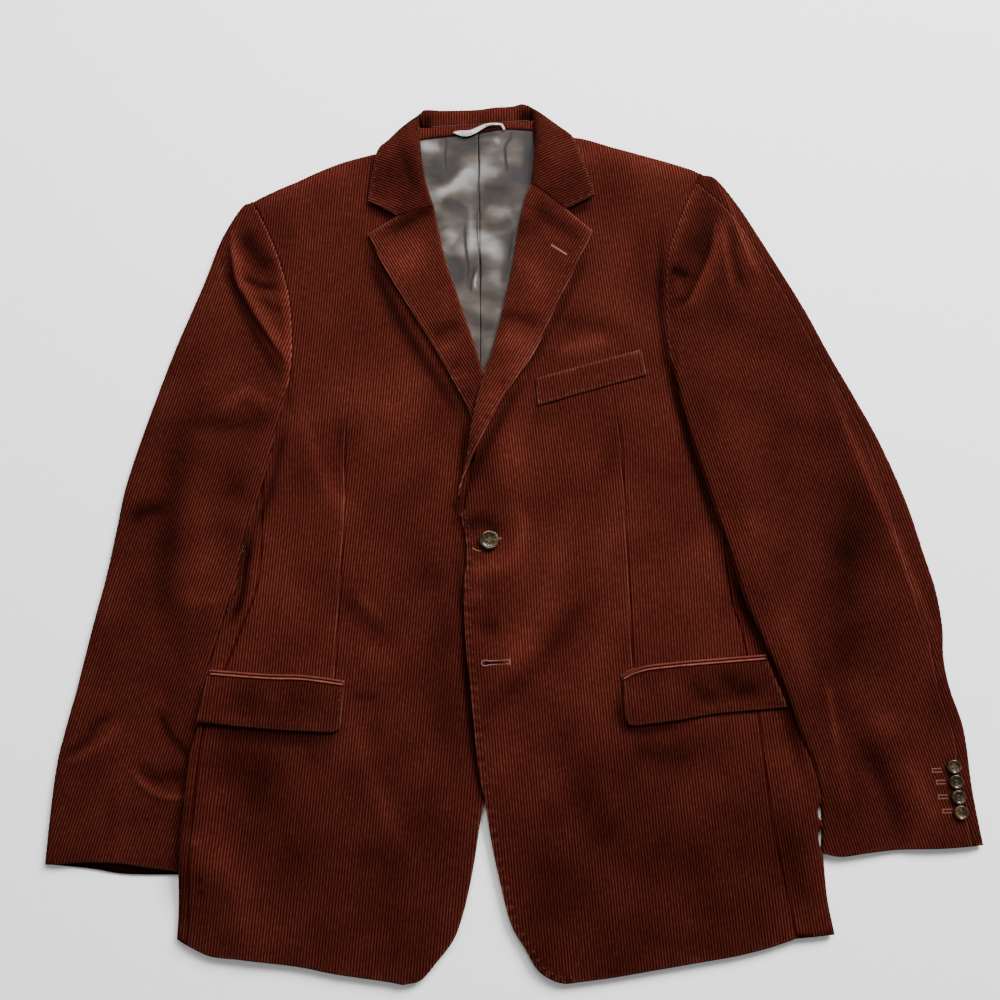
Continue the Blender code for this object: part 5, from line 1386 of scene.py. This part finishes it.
leaf = Sheet([edge("collarFoldR", "crossFold", "plain", back=True), edge("collarTop", "crossFold", "plain"),
              edge("collarFoldL", "crossFold", "plain"), edge("collarUnder", back=True)],
             wales([(-33, 425), (-33, 370)]), collarDown, up=False, other=collarUp)
stand = Sheet([edge("collarTop", "crossFold", "plain"), edge("standSeam", neckLevel, "plain", back=True)],
              wales([(-33, 425), (-33, 395)]), collarUp, other=collarDown, creases=turnover["collar"],
              edgeDrop=0.7)
makeUp("collarCloth", [leaf, wings[0], stand, wings[1]], "collar",
       restsOn=["lapel_right", "lapel_left", "front_right", "front_left"])
print("cloth made")


def addTube(shape, path, radius, corners=6):
    # a thin round tube along a path, with closed ends
    path = np.asarray(path)
    along = np.gradient(path, axis=0)
    along /= np.linalg.norm(along, axis=1)[:, None]
    across = np.cross(along, [0, 0, 1.0])
    across /= np.maximum(np.linalg.norm(across, axis=1), 1e-9)[:, None]
    above = np.cross(across, along)
    turns = np.linspace(0, 2 * math.pi, corners, endpoint=False)
    rings = path[:, None] + radius * (np.cos(turns)[None, :, None] * across[:, None]
                                      + np.sin(turns)[None, :, None] * above[:, None])
    triangles, last = [], (len(path) - 1) * corners
    for i in range(0, last, corners):
        for k in range(corners):
            a0, b0 = i + k, i + (k + 1) % corners
            triangles += [(a0, a0 + corners, b0 + corners), (a0, b0 + corners, b0)]
    points = np.vstack([rings.reshape(-1, 3), path[:1], path[-1:]])
    for k in range(corners):
        triangles.append((len(points) - 2, k, (k + 1) % corners))
        triangles.append((len(points) - 1, last + (k + 1) % corners, last + k))
    shape.add(points, triangles)


buttons = {
    "front": {"holes": 1.95, "hole": 1.0, "rings": 40, "turns": 84},
    "cuff": {"holes": 1.35, "hole": 0.75, "rings": 30, "turns": 64},
    "profile": [(0, 0.60), (0.50, 0.62), (0.62, 0.72), (0.72, 0.93), (0.82, 1.0), (0.92, 0.93),
                (0.98, 0.72), (1.0, 0.5)],       # part of the radius, part of the thickness
    "back": [(0.97, 0.18), (0.86, 0.0)],
    "holeSlope": 0.35 * mm, "holeDepth": 0.45,
    "bars": (-0.22, 0.0, 0.22), "barLift": 0.28 * mm, "barDrop": 1.0 * mm, "thread": 0.16 * mm,
}


def turnedButton(name, node, look):
    # a turned four-hole button with a raised rim, sewn on with two bars of thread
    low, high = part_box(node)
    centre, radius, thick = (low + high) / 2, (high.x - low.x) / 2, high.z - low.z
    foot = np.array([centre.x, centre.y, low.z])
    marks = np.linspace(0, 1, look["rings"] + 1)[1:]
    turns = np.linspace(0, 2 * math.pi, look["turns"], endpoint=False)
    r, a = np.meshgrid(marks, turns, indexing="ij")
    x, y = radius * r * np.cos(a), radius * r * np.sin(a)
    z = thick * np.interp(r, *zip(*buttons["profile"]))
    gap, hole = look["holes"] * mm, look["hole"] * mm
    for sx, sy in ((-1, -1), (-1, 1), (1, -1), (1, 1)):
        away = np.hypot(x - sx * gap, y - sy * gap)
        sink = np.clip((hole - away) / buttons["holeSlope"] + 0.5, 0, 1)
        z -= buttons["holeDepth"] * thick * sink * sink * (3 - 2 * sink)
    count = len(turns)
    points = [(0, 0, buttons["profile"][0][1] * thick)] + list(zip(x.ravel(), y.ravel(), z.ravel()))
    for ring, height in buttons["back"]:
        points += [(radius * ring * math.cos(t), radius * ring * math.sin(t), thick * height) for t in turns]
    points.append((0, 0, 0))
    last = len(points) - 1 - count
    triangles = []
    for i in range(count):
        following = (i + 1) % count
        triangles += [(0, 1 + i, 1 + following), (len(points) - 1, last + following, last + i)]
        for ring in range(1, last, count):
            a0, b0 = ring + i, ring + following
            triangles += [(a0, a0 + count, b0 + count), (a0, b0 + count, b0)]
    shape = Mesh()
    shape.add(np.array(points) + foot, triangles)
    shape.make(name, horn, "button", node)
    bars = Mesh()
    t = np.linspace(-1, 1, 9)
    for sy in (-1, 1):
        for shift in buttons["bars"]:
            z = thick * buttons["profile"][1][1] + buttons["barLift"] - buttons["barDrop"] * np.abs(t)**5
            path = np.column_stack([t * gap, np.full(9, sy * gap + shift * mm), z])
            addTube(bars, path + foot, buttons["thread"])
    bars.make(name + "Thread", buttonThread, "button")


sewing = {
    "gap": 6.8 * mm, "stitch": 1.7 * mm, "pick": 0.24 * mm, "twist": 0.30 * mm,
    "lift": 0.15 * mm, "sink": (0.5, 0.1, 0, 0.1, 0.5), "crown": 0.35 * mm, "bow": 0.55 * mm,
    "every": 0.62 * mm, "cuffEvery": 0.75 * mm, "stand": 0.36 * mm, "standLift": 0.25 * mm,
    "flapInset": -3.6, "weltInset": -2.6,
    "edges": [
        ("collarLeafR", 3.2, "collarCloth"), ("collarLeafL", -3.2, "collarCloth"),
        ("collarEndR", 3.2, "collarCloth"), ("collarEndL", -3.2, "collarCloth"),
        ("lapelTopR", 3.6, "lapelCloth_right"), ("lapelTopL", -3.6, "lapelCloth_left"),
        ("lapelR", 5.0, "lapelCloth_right"), ("lapelL", -5.0, "lapelCloth_left"),
        ("edgeL", -5.6, "frontCloth_left"),
    ],
    # the keyhole with its bar, and the thread ends at the button
    "frontCloth_left": [
        ([(-4.5, -138.9), (-12, -139.4), (-21, -139.9), (-24.5, -139.7), (-28, -139.6), (-30, -142),
          (-28, -144.4), (-24.5, -144.0), (-21, -143.4), (-12, -142.8), (-4.5, -142.4)], 0.55),
        ([(-4, -138.2), (-4, -143.2)], 0.8),
        ([(-39, -34.5), (-35, -36.6), (-31, -37.4)], 0.6),
        ([(-13.5, -25.5), (-11.5, -25)], 0.9),
    ],
    "lapelCloth_left": [([(38, 269), (53, 259)], 1.2)],
    "cuff": [(383.5, -239), (386.5, -249.5), (387.5, -262.5), (390.5, -275)],
    "cuffHole": [((0, 1.5), (8, 1.7)), ((0, -1.5), (8, -1.3)), ((-0.5, 2), (-0.5, -2))],
}


def onCloth(places, pieces):
    # lays places on the right side of some pieces
    laid = []
    for x, y in places:
        hits = [surfaces[name].ray_cast(Vector((x, y, 0.2)), Vector((0, 0, -1)))[0] for name in pieces]
        heights = [hit.z for hit in hits if hit is not None]
        if heights:
            laid.append((x, y, max(heights)))
    return np.array(laid)


def pickStitches(shape, line, inset, piece):
    # small stitches in a row beside an edge
    line = sideways(line, inset * mm)
    stitch, gap = sewing["stitch"], sewing["gap"]
    for first in np.arange(gap / 2, lengthsAlong(line)[-1] - stitch, gap + stitch):
        laid = onCloth(placesAt(line, np.linspace(first, first + stitch, 5)), [piece])
        if len(laid) == 5:
            laid[:, 2] = laid[:, 2].max() + sewing["lift"] - np.array(sewing["sink"]) * mm
            addTube(shape, laid, sewing["pick"])


def overcast(shape, places, half, piece, every="every"):
    # buttonhole stitch: short threads side by side across a line
    line = curveThrough(places)
    middle = placesAt(line, np.arange(0, lengthsAlong(line)[-1], sewing[every]))
    base = np.median(onCloth(middle, [piece])[:, 2])
    t = np.linspace(-1, 1, 5)[:, None]
    for (x, y), (ax, ay) in zip(middle, directions(middle)):
        flat = np.array([[x, y]]) + t * half * mm * np.array([[-ay, ax]])
        z = base + sewing["crown"] - sewing["bow"] * t[:, 0]**2
        addTube(shape, np.column_stack([flat, z]), sewing["twist"])


picks = Mesh()
for name, inset, piece in sewing["edges"]:
    pickStitches(picks, curves[name], inset, piece)
for word, line in flapEnds.items():
    pickStitches(picks, line, sewing["flapInset"], "flapCloth_" + word)
for line in weltLines:
    pickStitches(picks, line, sewing["weltInset"], "weltCloth")
picks.make("pickStitches", rustThread, "corduroy")
holes = Mesh()
for piece in ("frontCloth_left", "lapelCloth_left"):
    for places, half in sewing[piece]:
        overcast(holes, places, half, piece)
for x, y in sewing["cuff"]:
    for ends in sewing["cuffHole"]:
        overcast(holes, [(x + right, y + up) for right, up in ends], 0.55, "topSleeve_left", "cuffEvery")
holes.make("buttonholes", silkTwist, "corduroy")
seamLine = Mesh()
laid = onCloth(curves["standSeam"][::6], ["collarCloth", "neckFacing"])
evened = np.convolve(np.pad(laid[:, 2], 3, mode="edge"), np.ones(7) / 7, mode="valid")
laid[:, 2] = evened + sewing["standLift"]
addTube(seamLine, laid, sewing["stand"])
seamLine.make("standStitch", rustThread, "corduroy")
print("seams sewn")
turnedButton("frontButton", "front_button", buttons["front"])
for number in range(1, 5):
    turnedButton("cuffButton_%d" % number, "cuff_button_left_%d" % number, buttons["cuff"])
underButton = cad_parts["under_button"].data
underButton.materials.clear()
underButton.materials.append(horn)
print("buttons turned")

# The pale floor and the soft lights
half, below = 4, -0.0004
floorMesh = bpy.data.meshes.new("floor")
floorMesh.from_pydata([(x * half, y * half, below) for x, y in ((-1, -1), (1, -1), (1, 1), (-1, 1))], [],
                      [(0, 1, 2, 3)])
floor = addObject("floor", floorMesh)
paper = Finish("palePaper", Roughness=0.9, Specular_IOR_Level=0.1)
paper.shaded("Base Color", paper.mixed(paper.noise(60.0), (0.86, 0.86, 0.855), (0.89, 0.89, 0.885)))
floorMesh.materials.append(paper.material)

aim, ambient = Vector((-0.05, 0.1, 0)), 0.42
lamps = {
    "keyLight": {"place": (1.9, 2.5, 2.2), "size": 1.7, "power": 430},
    "topLight": {"place": (-0.10, 0.95, 1.35), "size": 0.7, "power": 22},
}
for name, lamp in lamps.items():
    light = bpy.data.lights.new(name, "AREA")
    light.size, light.energy = lamp["size"], lamp["power"]
    hung = addObject(name, light)
    hung.location = lamp["place"]
    hung.rotation_euler = (aim - Vector(lamp["place"])).to_track_quat("-Z", "Y").to_euler()
world = bpy.context.scene.world or bpy.data.worlds.new("world")
bpy.context.scene.world = world
world.use_nodes = True
background = world.node_tree.nodes["Background"]
background.inputs["Color"].default_value = (1.0, 1.0, 1.0, 1)
background.inputs["Strength"].default_value = ambient
print("floor and lights set")
